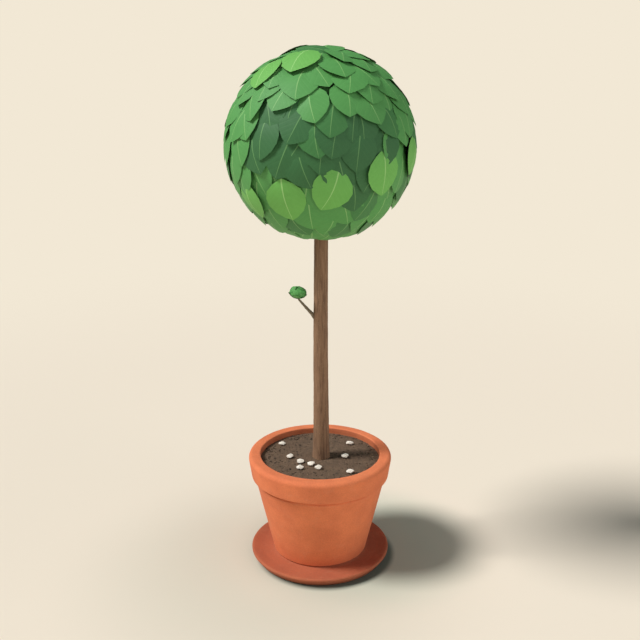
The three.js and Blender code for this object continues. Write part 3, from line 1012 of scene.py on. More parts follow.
@dataclass
class Trunk:
    """The clear stem, from its flat cut on the compost to its tip inside the crown."""

    foot_x: float = 2.2 * MM
    top_x: float = 1.7 * MM
    top_radius: float = 14.1 * MM
    foot_radius: float = 16.9 * MM
    flare: float = 2 * MM
    flare_height: float = 30 * MM
    lobes: int = 4
    lobe_depth: float = 0.07
    sway: float = 0.5 * MM
    sway_waves: tuple[float, float] = (1.3, 0.85)
    segments: int = 56
    ring_step: float = 3 * MM
    furrow_relief: float = 1.3 * MM
    grain_relief: float = 0.6 * MM
    swell: float = 0.5 * MM

    def __post_init__(self) -> None:
        """Takes the trunk's ends from its solid."""
        low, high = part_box("trunk")
        self.foot, self.top = low.z, high.z

    def middle(self, height: float) -> Vector:
        """The middle of the trunk, with its slight lean and sway.

        Args:
            height: The height.

        Returns:
            The point at that height.
        """
        t = (height - self.foot) / (self.top - self.foot)
        lean = self.foot_x + (self.top_x - self.foot_x) * t
        across, ahead = (self.sway * math.sin(2 * math.pi * waves * t) for waves in self.sway_waves)
        return Vector((lean + across, ahead, height))

    def radius(self, height: float, angle: float) -> float:
        """The trunk's radius, widest where it flares into its roots.

        Args:
            height: The height.
            angle: The angle round the trunk, in radians from +X.

        Returns:
            The radius there.
        """
        t = (height - self.foot) / (self.top - self.foot)
        fade = math.exp(-(height - self.foot) / self.flare_height)
        lobe = 1 + self.lobe_depth * fade * math.cos(self.lobes * angle + 0.8)
        return (self.foot_radius + (self.top_radius - self.foot_radius) * t
                + self.flare * fade) * lobe

    def build(self) -> None:
        """Models and dresses the trunk."""
        rings = math.ceil((self.top - self.foot) / self.ring_step)
        heights = [self.foot + (self.top - self.foot) * i / rings for i in range(rings + 1)]
        piece = throw_on_wheel("trunk_bark", [(self.foot_radius, h) for h in heights],
                               self.segments)
        for vertex in piece.data.vertices:
            angle = math.atan2(vertex.co.y, vertex.co.x)
            height = vertex.co.z
            out = Vector((math.cos(angle), math.sin(angle), 0))
            vertex.co = self.middle(height) + out * (self.radius(height, angle) + self.swell)
        side = between_levels(piece, self.foot + 1 * MM, self.top - 1 * MM)
        roughen(piece, 7 * MM, self.furrow_relief, side, stretch=9, detail=2)
        roughen(piece, 3 * MM, self.grain_relief, side, stretch=3, detail=2)
        smooth(piece, 70)
        hand_over(piece, Slot.BARK, [STEM_BARK.material()], "trunk")


@dataclass
class LeafShape:
    """One leaf blade, modelled once at unit width and length.

    Attributes:
        stations: How wide the blade is (of its full width) at each share of its length.
        rib: The midrib's half width at its root, as a share of the leaf's width.
        rib_taper: The share of that width which it loses towards the tip.
        droop: How far the edges hang below the midrib, as a share of the width.
        thickness: At the midrib, as a share of the width.
        test_rows: Into how many rows a blade is cut where it is tested against the others.
        places: The vertices as modelled, across, along and up.
        faces: The faces, by vertex number.
        finishes: Each face's material number.
    """

    stations: tuple[tuple[float, float], ...] = (
        (0, 0.07), (0.1, 0.5), (0.25, 0.86), (0.42, 1.0), (0.6, 0.95), (0.78, 0.71),
        (0.92, 0.33), (1, 0.0))
    rib: float = 0.02
    rib_taper: float = 0.75
    droop: float = 0.088
    thickness: float = 0.012
    test_rows: int = 24

    def patch(self) -> np.ndarray:
        """Points spread all over the upper side, to test a blade against the others.

        Returns:
            One row for each.
        """
        along = np.repeat(np.linspace(0, 1, self.test_rows), self.test_rows)
        shares, widths = zip(*self.stations)
        width = np.interp(along, shares, widths)
        across = np.tile(np.linspace(-0.5, 0.5, self.test_rows), self.test_rows) * width
        return np.column_stack((across, along, -2 * self.droop * width * abs(across)))

    def __post_init__(self) -> None:
        """Models the blade, as two skins that are then welded along the edge."""
        rows = len(self.stations) - 1
        deselect_all()
        bpy.ops.mesh.primitive_grid_add(x_subdivisions=3, y_subdivisions=rows, size=1)
        piece = bpy.context.object
        columns = sorted({round(v.co.x, 4) for v in piece.data.vertices})
        levels = sorted({round(v.co.y, 4) for v in piece.data.vertices})
        bpy.ops.object.mode_set(mode="EDIT")
        for level, (share, width) in zip(levels, self.stations):
            rib = self.rib * (1 - self.rib_taper * share) if width else 0.0
            for column, target in ((columns[3], width / 2), (columns[2], rib)):
                pick_vertices(piece, lambda co: abs(co.y - level) < 1e-3
                              and abs(abs(co.x) - column) < 1e-3)
                ratio = target / column
                bpy.ops.transform.resize(value=(ratio, 1, 1), center_override=(0, level, 0))
                if column == columns[3]:
                    drop = -self.droop * width ** 2
                    bpy.ops.transform.translate(value=(0, 0, drop))
        bpy.ops.object.mode_set(mode="OBJECT")
        for vertex in piece.data.vertices:
            row = min(range(rows + 1), key=lambda i: abs(levels[i] - vertex.co.y))
            vertex.co.y = self.stations[row][0]
        self.weld(piece)
        self.places = np.array([v.co for v in piece.data.vertices])
        self.faces = [tuple(p.vertices) for p in piece.data.polygons]
        self.finishes = [self.finish_of(piece.data, p) for p in piece.data.polygons]
        bpy.data.objects.remove(piece)

    def weld(self, piece: bpy.types.Object) -> None:
        """Adds the underside to the upper side, and welds the two skins along the edge.

        Args:
            piece: The upper side.
        """
        take(piece)
        bpy.ops.object.mode_set(mode="EDIT")
        bpy.ops.mesh.select_all(action="SELECT")
        bpy.ops.mesh.duplicate()
        bpy.ops.mesh.flip_normals()
        bpy.ops.object.mode_set(mode="OBJECT")
        under = {v for p in piece.data.polygons if p.select for v in p.vertices}
        for index in under:
            vertex = piece.data.vertices[index]
            if abs(vertex.co.x) < 2 * self.rib and 0 < vertex.co.y < 1:
                vertex.co.z -= self.thickness
        bpy.ops.object.mode_set(mode="EDIT")
        bpy.ops.mesh.select_all(action="SELECT")
        bpy.ops.mesh.remove_doubles(threshold=1e-4)
        bpy.ops.object.mode_set(mode="OBJECT")

    def finish_of(self, mesh: bpy.types.Mesh, polygon: bpy.types.MeshPolygon) -> int:
        """Says which material a face has.

        Args:
            mesh: The leaf's mesh.
            polygon: The face.

        Returns:
            0 on the blade, 1 on the midrib and 2 on the underside.
        """
        if polygon.normal.z < 0:
            return 2
        reach = max(abs(mesh.vertices[v].co.x) for v in polygon.vertices)
        return 1 if reach < 2 * self.rib else 0


@dataclass
class LeafPlace:
    """Where one leaf sits and how it is bent.

    Attributes:
        root: Where the blade starts.
        tip: Where it ends.
        out: The way that its upper side faces.
        width: Its full width.
        lift: How far its middle stands above a straight blade.
        camber: How strongly its edges droop, with 1 as modelled.
        bend: How far its tip swings to one side, as a share of its length.
    """

    root: Vector
    tip: Vector
    out: Vector
    width: float
    lift: float
    camber: float = 1.0
    bend: float = 0.0

    def places(self, shape: np.ndarray) -> np.ndarray:
        """The blade's vertices in place.

        Args:
            shape: The vertices of the leaf as modelled.

        Returns:
            One row for each.
        """
        along = self.tip - self.root
        across = along.cross(self.out).normalized()
        up = across.cross(along).normalized()
        x, y, z = shape[:, 0:1], shape[:, 1:2], shape[:, 2:3]
        arch = np.sin(math.pi * y ** 0.85)
        swing = self.bend * along.length * np.sin(math.pi * y)
        return (np.array(self.root) + y * np.array(along)
                + (x * self.width + swing) * np.array(across)
                + (z * self.camber * self.width + arch * self.lift) * np.array(up))


def grow_leaves(name: str, places: Sequence[LeafPlace], blade: LeafBlade, shape: LeafShape,
                underside: bpy.types.Material, node: str) -> None:
    """Joins many leaves of one green into one piece.

    Args:
        name: The piece's name.
        places: Where each leaf sits.
        blade: The finish of the upper side.
        shape: The leaf as modelled.
        underside: The underside's material.
        node: The solid that the leaves stand for.
    """
    bundle = Bundle()
    for place in places:
        bundle.add(place.places(shape.places), shape.faces, shape.finishes)
        bundle.marks.append(shape.places[:, :2])
    rib = Finish(f"{blade.name}_midrib", blade.vein_colour, 0.6, 1.45)
    hand_over(bundle.piece(name, LEAF_CREASE), Slot.LEAF,
              [blade.material(), rib.material(), underside], node)


@dataclass
class SideShoot:
    """The small shoot on the trunk's side, and the tuft of young leaves at its end.

    Attributes:
        trunk: The trunk that it grows from.
        height: Where it leaves the trunk.
        run: How far it reaches out from the trunk.
        rise: How far it rises on the way.
        sag: How far it hangs below a straight line.
        collar: How much thicker it is where it leaves the bark, at collar_at of its length.
        knot: How much thicker it is at its leaf scars, at knots_at of its length.
        skins: The tuft's skins of leaves from the heart outwards: how many, and how far out.
        flatness: The tuft's height, as a share of its width.
        leaf_turns: Where a leaf starts and ends on its skin, in degrees from its middle.
        leaf_flare: How far out its tip lies, as a share of its skin's reach.
        leaf_wander: How far the leaves' ways differ, in degrees.
        leaf_lift: How far a leaf's middle stands above a straight blade, as a share of its length.
        upright: The way that the tuft's stem grows.
        tilt: The way that the tuft's flat top faces.
        heart_at: Where the tuft's middle lies, as a share of the way up its stem.
    """

    trunk: Trunk
    height: float = 569 * MM
    run: float = 30.4 * MM
    rise: float = 38 * MM
    root_radius: float = 4.3 * MM
    tip_radius: float = 2.2 * MM
    sag: float = 1 * MM
    steps: int = 40
    sides: int = 14
    collar: float = 1.6 * MM
    collar_at: float = 0.12
    knot: float = 0.45 * MM
    knots_at: tuple[float, ...] = (0.38, 0.6, 0.8)
    skins: tuple[tuple[int, float], ...] = ((6, 7 * MM), (12, 13 * MM), (16, 16.5 * MM),
                                           (20, 19.2 * MM))
    flatness: float = 0.58
    leaf_width: float = 19 * MM
    leaf_turns: tuple[float, float] = (-46, 34)
    leaf_flare: float = 1.1
    leaf_wander: float = 50
    leaf_lift: float = 0.15
    heart_at: float = 0.85
    upright: Vector = field(default_factory=lambda: Vector((0, -0.05, 1)).normalized())
    tilt: Vector = field(default_factory=lambda: Vector((0.22, -0.05, 0.97)).normalized())
    neck_length: float = 2 * MM
    stem_length: float = 16.5 * MM
    stem_radius: float = 1.8 * MM
    seed: int = 7

    def line(self) -> list[Vector]:
        """Draws the shoot's middle line.

        Returns:
            Its points, from inside the trunk to its tip.
        """
        inside = self.trunk.middle(self.height - 6 * MM) + Vector((-8 * MM, 0, 0))
        tip = Vector((self.trunk.foot_x - self.trunk.foot_radius - self.run, -2 * MM,
                      self.height + self.rise))
        bend = inside.lerp(tip, 0.5) - UP * self.sag
        curve = []
        for i in range(self.steps + 1):
            t = i / self.steps
            curve.append(inside * (1 - t) ** 2 + bend * (2 * t * (1 - t)) + tip * t ** 2)
        return curve

    def build(self, shape: LeafShape, underside: bpy.types.Material) -> None:
        """Models and dresses the shoot, its stem and its tuft.

        Args:
            shape: The leaf as modelled.
            underside: The material of the leaves' undersides.
        """
        line = self.line()
        radii = []
        for i in range(self.steps + 1):
            t = i / self.steps
            plain = self.root_radius + (self.tip_radius - self.root_radius) * t
            collar = self.collar * math.exp(-((t - self.collar_at) / 0.1) ** 2)
            knot = sum(self.knot * math.exp(-((t - at) / 0.02) ** 2) for at in self.knots_at)
            radii.append(plain + collar + knot)
        bark = Bundle()
        bark.add_limb(line, radii, self.sides)
        shoot_bark = SHOOT_BARK.material()
        piece = bark.piece("shoot_bark", 60)
        roughen(piece, 3 * MM, 0.5 * MM)
        hand_over(piece, Slot.SHOOT, [shoot_bark], "side_shoot")
        self.tuft(line, shoot_bark, shape, underside)

    def tuft(self, line: Sequence[Vector], shoot_bark: bpy.types.Material, shape: LeafShape,
             underside: bpy.types.Material) -> None:
        """Grows the tuft: a short stem that turns up, in a bud of leaves that close over it.

        Args:
            line: The shoot's middle line.
            shoot_bark: The stem's material.
            shape: The leaf as modelled.
            underside: The material of the leaves' undersides.
        """
        draw = Stream(self.seed)
        onwards = (line[-1] - line[-2]).normalized()
        neck = line[-1] + onwards * self.neck_length
        top = neck + self.upright * self.stem_length
        heart = neck.lerp(top, self.heart_at)
        stem = Bundle()
        stem.add_limb([line[-1] - onwards * 2 * MM, neck, neck.lerp(top, 0.5), top],
                      [self.stem_radius, self.stem_radius, 1.4 * MM, 0.9 * MM], 8)
        turn = UP.rotation_difference(self.tilt)
        places = []
        for count, reach in self.skins:
            for way in even_directions(count, draw, 0.2):
                wander = self.leaf_wander * (draw() - 0.5)
                axis = way.cross(downhill(way, math.radians(180 + wander))).normalized()
                ends = []
                for angle, flare in zip(self.leaf_turns, (1.0, self.leaf_flare)):
                    spot = turned(way, axis, math.radians(angle))
                    spot.z *= self.flatness
                    spot.rotate(turn)
                    ends.append(heart + spot * reach * flare * draw.between(0.92, 1.04))
                root, tip = ends
                out = way.copy()
                out.rotate(turn)
                width = self.leaf_width * reach / self.skins[-1][1]
                places.append(LeafPlace(root, tip, out, width, self.leaf_lift * (tip - root).length,
                                        draw.between(0.6, 1.1)))
                stem.add_limb([neck.lerp(top, 0.5), root], [0.7 * MM, 0.6 * MM], 3)
        hand_over(stem.piece("tuft_stem", 60), Slot.SHOOT, [shoot_bark], "side_shoot_leaves")
        grow_leaves("tuft_leaves", places, TUFT_BLADE, shape, underside, "side_shoot_leaves")


# ------------------------------------------------------------------ crown


@dataclass
class Sprig:
    """One sprig of leaves at the ball's skin.

    Attributes:
        fork: Where it leaves its twig.
        middle: The direction of its leading leaf's middle from the crown's centre.
        way: The way along the skin that the leading leaf hangs.
        grown: How long its leaves are, as a share of full length.
    """

    fork: Vector
    middle: Vector
    way: Vector
    grown: float

    def move_to(self, middle: Vector) -> None:
        """Moves the sprig along the skin, so that its leading leaf lies in another direction."""
        self.middle = middle
        self.way = (self.way - middle * self.way.dot(middle)).normalized()


@dataclass(frozen=True)
class Rank:
    """How the leaves of one rank sit in the ball.

    Attributes:
        root: How far from the crown's centre a leaf starts.
        tip: How far from it the leaf ends, before it is raised.
        lift: How far its middle stands above a straight blade.
        headroom: The most that its tip is raised to clear the leaves under it.
    """

    root: float
    tip: float
    lift: float
    headroom: float = 0.0


@dataclass
class Hanging:
    """One leaf that waits to be laid: its rank, its age, its place and its stem's tip."""

    rank: Rank
    age: LeafAge
    place: LeafPlace
    stem: Vector


class Canopy:
    """How far out the leaves laid so far reach, in every direction from the crown's centre."""

    def __init__(self, centre: Vector, grain: float) -> None:
        """Starts with no leaves.

        Args:
            centre: The crown's centre.
            grain: The size of a cell, as a share of the distance from the centre.
        """
        self.centre = np.array(centre)
        self.grain = grain
        cells = math.ceil(2 / grain) + 1
        self.reach = np.zeros((cells, cells, cells))

    def cells(self, spots: np.ndarray) -> tuple[tuple[np.ndarray, ...], np.ndarray]:
        """Finds where spots lie.

        Args:
            spots: The spots, one row each.

        Returns:
            The cells that they fall in, and how far each is from the centre.
        """
        rays = spots - self.centre
        reach = np.linalg.norm(rays, axis=1)
        return tuple(((rays / reach[:, None] + 1) / self.grain).astype(int).T), reach

    def rise_over(self, spots: np.ndarray, shares: np.ndarray, clear: float) -> float:
        """How far a leaf's tip has to be raised for the leaf to pass over those laid so far.

        Args:
            spots: Points all over the leaf.
            shares: How far each point rises, as a share of what the tip does.
            clear: The room left between two leaves.

        Returns:
            The distance, which is 0 where it is clear already.
        """
        index, reach = self.cells(spots)
        return max(0.0, float(((self.reach[index] + clear - reach) / shares).max()))

    def cover(self, way: Vector) -> float:
        """How far out the leaves reach in one direction, or just beside it.

        Args:
            way: The direction from the centre.

        Returns:
            The distance from the centre.
        """
        corners = np.array([(x, y, z) for x in (-1, 1) for y in (-1, 1) for z in (-1, 1)])
        index, _ = self.cells(self.centre + np.array(way) + corners * self.grain * 0.35)
        return float(self.reach[index].max())

    def lay(self, spots: np.ndarray) -> None:
        """Lays a leaf, given by points all over it."""
        index, reach = self.cells(spots)
        np.maximum.at(self.reach, index, reach)


def even_directions(count: int, draw: Stream, nudge: float) -> list[Vector]:
    """Directions spread evenly over a sphere, each nudged by the stream.

    Args:
        count: How many.
        draw: The stream.
        nudge: How strongly each is moved off its even place.

    Returns:
        Unit vectors from the top down.
    """
    found = []
    for i in range(count):
        height = 1 - 2 * (i + 0.5) / count
        ring = math.sqrt(1 - height * height)
        turn = i * GOLDEN_TURN
        push = Vector((draw() - 0.5, draw() - 0.5, draw() - 0.5))
        plain = Vector((ring * math.cos(turn), ring * math.sin(turn), height))
        found.append((plain + push * nudge).normalized())
    return found


def turned(direction: Vector, axis: Vector, angle: float) -> Vector:
    """Turns a direction about an axis.

    Args:
        direction: The direction.
        axis: The axis.
        angle: The angle, in radians.

    Returns:
        The turned direction.
    """
    result = direction.copy()
    result.rotate(Quaternion(axis, angle))
    return result


def downhill(direction: Vector, turn: float) -> Vector:
    """The way down a ball's surface.

    Args:
        direction: The direction of the place from the ball's centre.
        turn: The angle that the way is turned to one side, in radians.

    Returns:
        The way, along the surface.
    """
    down = -UP + direction * direction.z
    if down.length_squared < 1e-4:
        down = Vector((1, 0, 0))
    return turned(down.normalized(), direction, turn)


def towards(bearing: float, rise: float) -> Vector:
    """A direction by its bearing and rise.

    Args:
        bearing: Degrees from the front towards +X.
        rise: Degrees above level.

    Returns:
        The direction.
    """
    level = math.cos(math.radians(rise))
    return Vector((level * math.sin(math.radians(bearing)),
                   -level * math.cos(math.radians(bearing)), math.sin(math.radians(rise))))


@dataclass
class Crown:
    """The clipped ball: boughs and twigs from the stem, and the sprigs of leaves at its skin.

    The sprigs stand where the solids' leaves do. Each has a leading leaf, smaller leaves that
    fan out beside it, and inner leaves behind. The leading leaves are laid from the bottom up,
    each raised until it passes over those under it, and the young ones over them.

    Attributes:
        trunk: The trunk that carries it.
        shape: The leaf as modelled.
        reach: How far the leaf tips lie from the centre.
        loose_from: Sprigs this near the very top start to point every way.
        unevenness: How much deeper than the others some tips of the solids' leaves lie.
        smallest: How long the shortest leading leaves are, as a share of the longest.
        swing: How far the sprigs' ways differ about straight down the ball, in degrees.
        sprig_reach: How far from the centre a sprig's stem ends.
        clear: The room between two leaves that lie over each other.
        root_rise: How far a raised leaf's root is raised, as a share of what its tip is.
        trunk_clear: The room between the leaves and the trunk, up to trunk_room above its tip.
        fan: The least and most that a side leaf turns away from the leading leaf, in degrees.
        root_shift: The least and most that a leaf's root is moved along its way.
        roll: How far a blade is turned about its length, as a slope.
        bend: How far its tip swings to one side, as a share of its length.
        gap_checks: In how many directions the ball is tested for gaps.
        gap_reach: A gap is where the leaves reach less far out than this.
        belt_rise: The height of the old leaves' belt, as a share of the ball's radius.
        belt_width: How far it reaches above and below, as such a share.
        belt_reach: How far it reaches to each side, as such a share.
        belt_ages: The ages in the belt, each with the share of sprigs that are as old or older.
        plain_ages: The same outside the belt.
        young_at: The bearing and rise of each young sprig in front, in degrees.
        young_behind: The share of sprigs that are young behind back_from of the ball's radius.
    """

    trunk: Trunk
    shape: LeafShape
    reach: float = 198 * MM
    core_radius: float = 181 * MM
    stem_radius: float = 12.5 * MM
    stem_reach: float = 60 * MM
    boughs: int = 12
    bough_radius: float = 6 * MM
    bough_reach: float = 97 * MM
    fork_drop: float = 25 * MM
    sprays: int = 48
    twig_radius: float = 3 * MM
    twig_reach: float = 172 * MM
    leaves_per_spray: int = 4
    spray_spread: float = 34 * MM
    loose_from: float = 0.86
    leaf_length: float = 96 * MM
    leaf_width: float = 70 * MM
    root_reach: float = 170 * MM
    tip_drop: float = 2 * MM
    unevenness: float = 6 * MM
    smallest: float = 0.88
    swing: float = 50
    bough_bow: float = 8 * MM
    twig_bow: float = 5 * MM
    sprig_bow: float = 4 * MM
    sprig_radii: tuple[float, float, float] = (1.7 * MM, 1.3 * MM, 0.8 * MM)
    stalk_radius: float = 0.9 * MM
    seed: int = 20
    leaf_seed: int = 4
    blade_width: float = 80 * MM
    sprig_reach: float = 156 * MM
    side_leaves: int = 2
    inner_leaves: int = 3
    clear: float = 1.2 * MM
    root_rise: float = 0.55
    trunk_clear: float = 3 * MM
    trunk_room: float = 12 * MM
    fan: tuple[float, float] = (24, 80)
    root_shift: tuple[float, float] = (-4 * MM, 10 * MM)
    roll: float = 0.12
    cambers: tuple[float, float] = (0.8, 1.2)
    bend: float = 0.06
    lead: Rank = Rank(180 * MM, 190 * MM, 9.5 * MM, 7.5 * MM)
    side: Rank = Rank(170 * MM, 179 * MM, 9 * MM)
    inner: Rank = Rank(155 * MM, 167 * MM, 8 * MM)
    fresh: Rank = Rank(189 * MM, 192 * MM, 10 * MM, 7 * MM)
    filler: Rank = Rank(184 * MM, 191 * MM, 9.5 * MM)
    gap_checks: int = 2400
    gap_reach: float = 190 * MM
    belt_rise: float = 0.08
    belt_width: float = 0.31
    belt_reach: float = 0.7
    belt_ages: tuple[tuple[LeafAge, float], ...] = ((LeafAge.OLD, 0.7), (LeafAge.DEEP, 0.98))
    plain_ages: tuple[tuple[LeafAge, float], ...] = ((LeafAge.OLD, 0.02), (LeafAge.DEEP, 0.14))
    young_at: tuple[tuple[float, float], ...] = (
        (-22, 62), (-53, 50), (-50, -29), (-22, -24), (7, -17), (39, -10), (70, -1))
    young_behind: float = 0.12
    back_from: float = 0.2

    def __post_init__(self) -> None:
        """Sets the ball's centre above the trunk's tip, as in the solids."""
        self.centre = Vector((0, 0, self.trunk.top + self.core_radius + 3 * MM))
        self.limbs = Bundle()
        self.canopy = Canopy(self.centre, 5 * MM / self.reach)
        self.waiting: list[Hanging] = []
        self.places: dict[LeafAge, list[LeafPlace]] = {age: [] for age in LeafAge}

    def at(self, direction: Vector, reach: float) -> Vector:
        """The point in a direction from the centre, at a distance."""
        return self.centre + direction * reach

    def meets_trunk(self, root: Vector, tip: Vector, width: float) -> bool:
        """Says whether a blade would come too near the trunk below the leaves.

        Args:
            root: Where the blade starts.
            tip: Where it ends.
            width: Its full width.

        Returns:
            True where it would.
        """
        for t in (0.4, 0.6, 0.8, 1):
            spot = root.lerp(tip, t)
            clear = self.trunk.foot_radius + self.trunk_clear + width * min(0.42, 1 - t)
            if spot.z < self.trunk.top + self.trunk_room and spot.xy.length < clear:
                return True
        return False

    def blade_ends(self, middle: Vector, way: Vector, length: float, root_reach: float,
                   tip_reach: float) -> tuple[Vector, Vector]:
        """Where a blade that lies along the skin starts and ends.

        Args:
            middle: The direction of its middle.
            way: The way that it points.
            length: Its length along the skin.
            root_reach: How far from the centre its root is.
            tip_reach: How far its tip is.

        Returns:
            Root and tip.
        """
        axis = middle.cross(way).normalized()
        half = length / self.reach / 2
        return (self.at(turned(middle, axis, -half), root_reach),
                self.at(turned(middle, axis, half), tip_reach))

    def sprigs_of(self, direction: Vector, end: Vector, fork: Vector, draw: Stream) -> list[Sprig]:
        """The sprigs of one spray, set round its middle.

        Args:
            direction: The spray's direction from the centre.
            end: Where its twig ends.
            fork: Where its twig starts.
            draw: The stream that the solids are grown with.

        Returns:
            Its sprigs, apart from any that would meet the trunk.
        """
        sprigs = []
        for i in range(self.leaves_per_spray):
            turn = 2 * math.pi * (i + 0.4 * draw()) / self.leaves_per_spray
            shift = direction.cross(downhill(direction, turn)).normalized()
            middle = turned(direction, shift, self.spray_spread / self.reach)
            loose = max(0.0, (middle.z - self.loose_from) / (1 - self.loose_from))
            swing = self.swing + (360 - self.swing) * loose
            way = downhill(middle, math.radians(swing * (draw() - 0.5)))
            grown = self.smallest + (1 - self.smallest) * draw()
            root, tip = self.blade_ends(middle, way, grown * self.leaf_length, self.root_reach,
                                        self.reach - self.tip_drop - self.unevenness * draw())
            if not self.meets_trunk(root, tip, self.leaf_width):
                sprigs.append(Sprig(fork.lerp(end, 0.55 + 0.1 * i), middle, way, grown))
        return sprigs

    def grow(self) -> None:
        """Grows stem, boughs, twigs and sprigs by the rule of the solids, and finer."""
        draw = Stream(self.seed)
        foot = self.trunk.middle(self.trunk.top)
        stem_top = self.at(UP, self.stem_reach)
        self.limbs.add_limb([foot, foot.lerp(stem_top, 0.5), stem_top],
                            [self.stem_radius, self.stem_radius * 0.8, self.stem_radius / 2], 16)
        ends = [self.at(way, self.bough_reach)
                for way in even_directions(self.boughs, draw, 0.2)]
        for end in ends:
            fork = stem_top.copy()
            fork.z = min(end.z, stem_top.z) - self.fork_drop
            elbow = fork.lerp(end, 0.5) + UP * self.bough_bow
            self.limbs.add_limb([fork, elbow, end],
                                [self.bough_radius, self.bough_radius * 0.8, self.twig_radius], 8)
        sprigs: list[Sprig] = []
        for way in even_directions(self.sprays, draw, 0.16):
            end = self.at(way, self.twig_reach)
            fork = min(ends, key=lambda bough: (bough - end).length)
            elbow = fork.lerp(end, 0.5) + UP * self.twig_bow
            self.limbs.add_limb([fork, elbow, self.at(way, self.sprig_reach)],
                                [self.twig_radius, self.twig_radius * 0.8, self.twig_radius / 2], 6)
            sprigs += self.sprigs_of(way, end, fork, draw)
        young = []
        for way in (towards(*at) for at in self.young_at):
            nearest = min(sprigs, key=lambda sprig: (sprig.middle - way).length)
            nearest.move_to(way)
            young.append(nearest)
        finer = Stream(self.leaf_seed)
        for sprig in sprigs:
            age = self.age_of(sprig, finer)
            self.grow_sprig(sprig, LeafAge.YOUNG if sprig in young else age, finer)
        for rank in (self.inner, self.side, self.lead, self.fresh):
            self.lay_leaves(rank)
        self.fill_gaps(finer)

    def grow_sprig(self, sprig: Sprig, age: LeafAge, draw: Stream) -> None:
        """Grows one sprig: its stem, its leading leaf, the fan beside that and the inner leaves.

        A young sprig has no fan yet, and its leaf lies over the others.

        Args:
            sprig: The sprig.
            age: Its leaves' age.
            draw: The stream for what is finer than the solids.
        """
        axis = sprig.middle.cross(sprig.way).normalized()
        half = sprig.grown * self.leaf_length / self.reach / 2
        base = turned(sprig.middle, axis, -half)
        stem_tip = self.at(base, self.sprig_reach)
        bow = sprig.fork.lerp(stem_tip, 0.6) + base * self.sprig_bow
        self.limbs.add_limb([sprig.fork, bow, stem_tip], self.sprig_radii, 5)
        rank = self.fresh if age is LeafAge.YOUNG else self.lead
        self.hang(rank, age, base, turned(sprig.way, axis, -half), sprig.grown, stem_tip, draw)
        for i in range(0 if rank is self.fresh else self.side_leaves):
            side = 1 if i % 2 else -1
            yaw = math.radians(side * draw.between(*self.fan))
            way = turned(turned(sprig.way, axis, -half), base, yaw)
            self.hang(self.side, age, base, way, draw.between(0.7, 0.92), stem_tip, draw)
        for _ in range(self.inner_leaves):
            way = downhill(base, draw.between(0, 2 * math.pi))
            self.hang(self.inner, LeafAge.INNER, base, way, draw.between(0.8, 1.0), stem_tip, draw)

    def hang(self, rank: Rank, age: LeafAge, base: Vector, way: Vector, size: float,
             stem: Vector, draw: Stream) -> None:
        """Hangs one leaf on a sprig, to be laid later, unless it would meet the trunk.

        Args:
            rank: How it sits in the ball.
            age: Its age.
            base: The direction of its root from the crown's centre.
            way: The way that it points there.
            size: Its length and width, as a share of full size.
            stem: Where its sprig's stem ends.
            draw: The stream.
        """
        axis = base.cross(way).normalized()
        length = size * self.leaf_length
        start = turned(base, axis, draw.between(*self.root_shift) / self.reach)
        middle = turned(start, axis, length / self.reach / 2)
        root, tip = self.blade_ends(middle, axis.cross(middle), length, rank.root, rank.tip)
        roll = axis * draw.between(-self.roll, self.roll)
        place = LeafPlace(root, tip, (middle + roll).normalized(), self.blade_width * size,
                          rank.lift * size, draw.between(*self.cambers),
                          draw.between(-self.bend, self.bend))
        if not self.meets_trunk(root, tip, place.width):
            self.waiting.append(Hanging(rank, age, place, stem))

    def lay_leaves(self, rank: Rank) -> None:
        """Lays the waiting leaves of one rank from the bottom up.

        Args:
            rank: The rank. Where it has headroom, each leaf is raised over those under it.
        """
        patch = self.shape.patch()
        leaves = [leaf for leaf in self.waiting if leaf.rank is rank]
        leaves.sort(key=lambda leaf: leaf.place.root.z + leaf.place.tip.z)
        for leaf in leaves:
            place = leaf.place
            if rank.headroom:
                shares = self.root_rise + (1 - self.root_rise) * patch[:, 1]
                needed = self.canopy.rise_over(place.places(patch), shares, self.clear)
                rise = place.out * min(needed, rank.headroom)
                place.root = place.root + rise * self.root_rise
                place.tip = place.tip + rise
                self.canopy.lay(place.places(patch))
            self.places[leaf.age].append(place)
            self.limbs.add_limb([leaf.stem, place.root], [self.stalk_radius] * 2, 3)

    def fill_gaps(self, draw: Stream) -> None:
        """Grows a leaf from the nearest sprig into each gap that lets light into the crown.

        Args:
            draw: The stream for what is finer than the solids.
        """
        patch = self.shape.patch()
        leaves = list(self.waiting)
        for way in even_directions(self.gap_checks, draw, 0):
            if self.canopy.cover(way) > self.gap_reach:
                continue
            spot = self.at(way, self.sprig_reach)
            near = min(leaves, key=lambda leaf: (leaf.stem - spot).length)
            turn = downhill(way, draw.between(-0.6, 0.6))
            base = turned(way, way.cross(turn).normalized(), -self.leaf_length / self.reach / 2)
            self.waiting.clear()
            self.hang(self.filler, near.age, base, turn, draw.between(0.85, 1.0), near.stem, draw)
            self.lay_leaves(self.filler)
            for leaf in self.waiting:
                self.canopy.lay(leaf.place.places(patch))

    def age_of(self, sprig: Sprig, draw: Stream) -> LeafAge:
        """Deals a sprig its age: old in a belt at mid height, here and there young behind.

        Args:
            sprig: The sprig.
            draw: The stream for what is finer than the solids.

        Returns:
            The age of its leaves.
        """
        chance = draw()
        if sprig.middle.y > self.back_from and chance < self.young_behind:
            return LeafAge.YOUNG
        belted = (abs(sprig.middle.z - self.belt_rise) < self.belt_width
                  and abs(sprig.middle.x) < self.belt_reach)
        for age, share in (self.belt_ages if belted else self.plain_ages):
            if chance < share:
                return age
        return LeafAge.GROWN

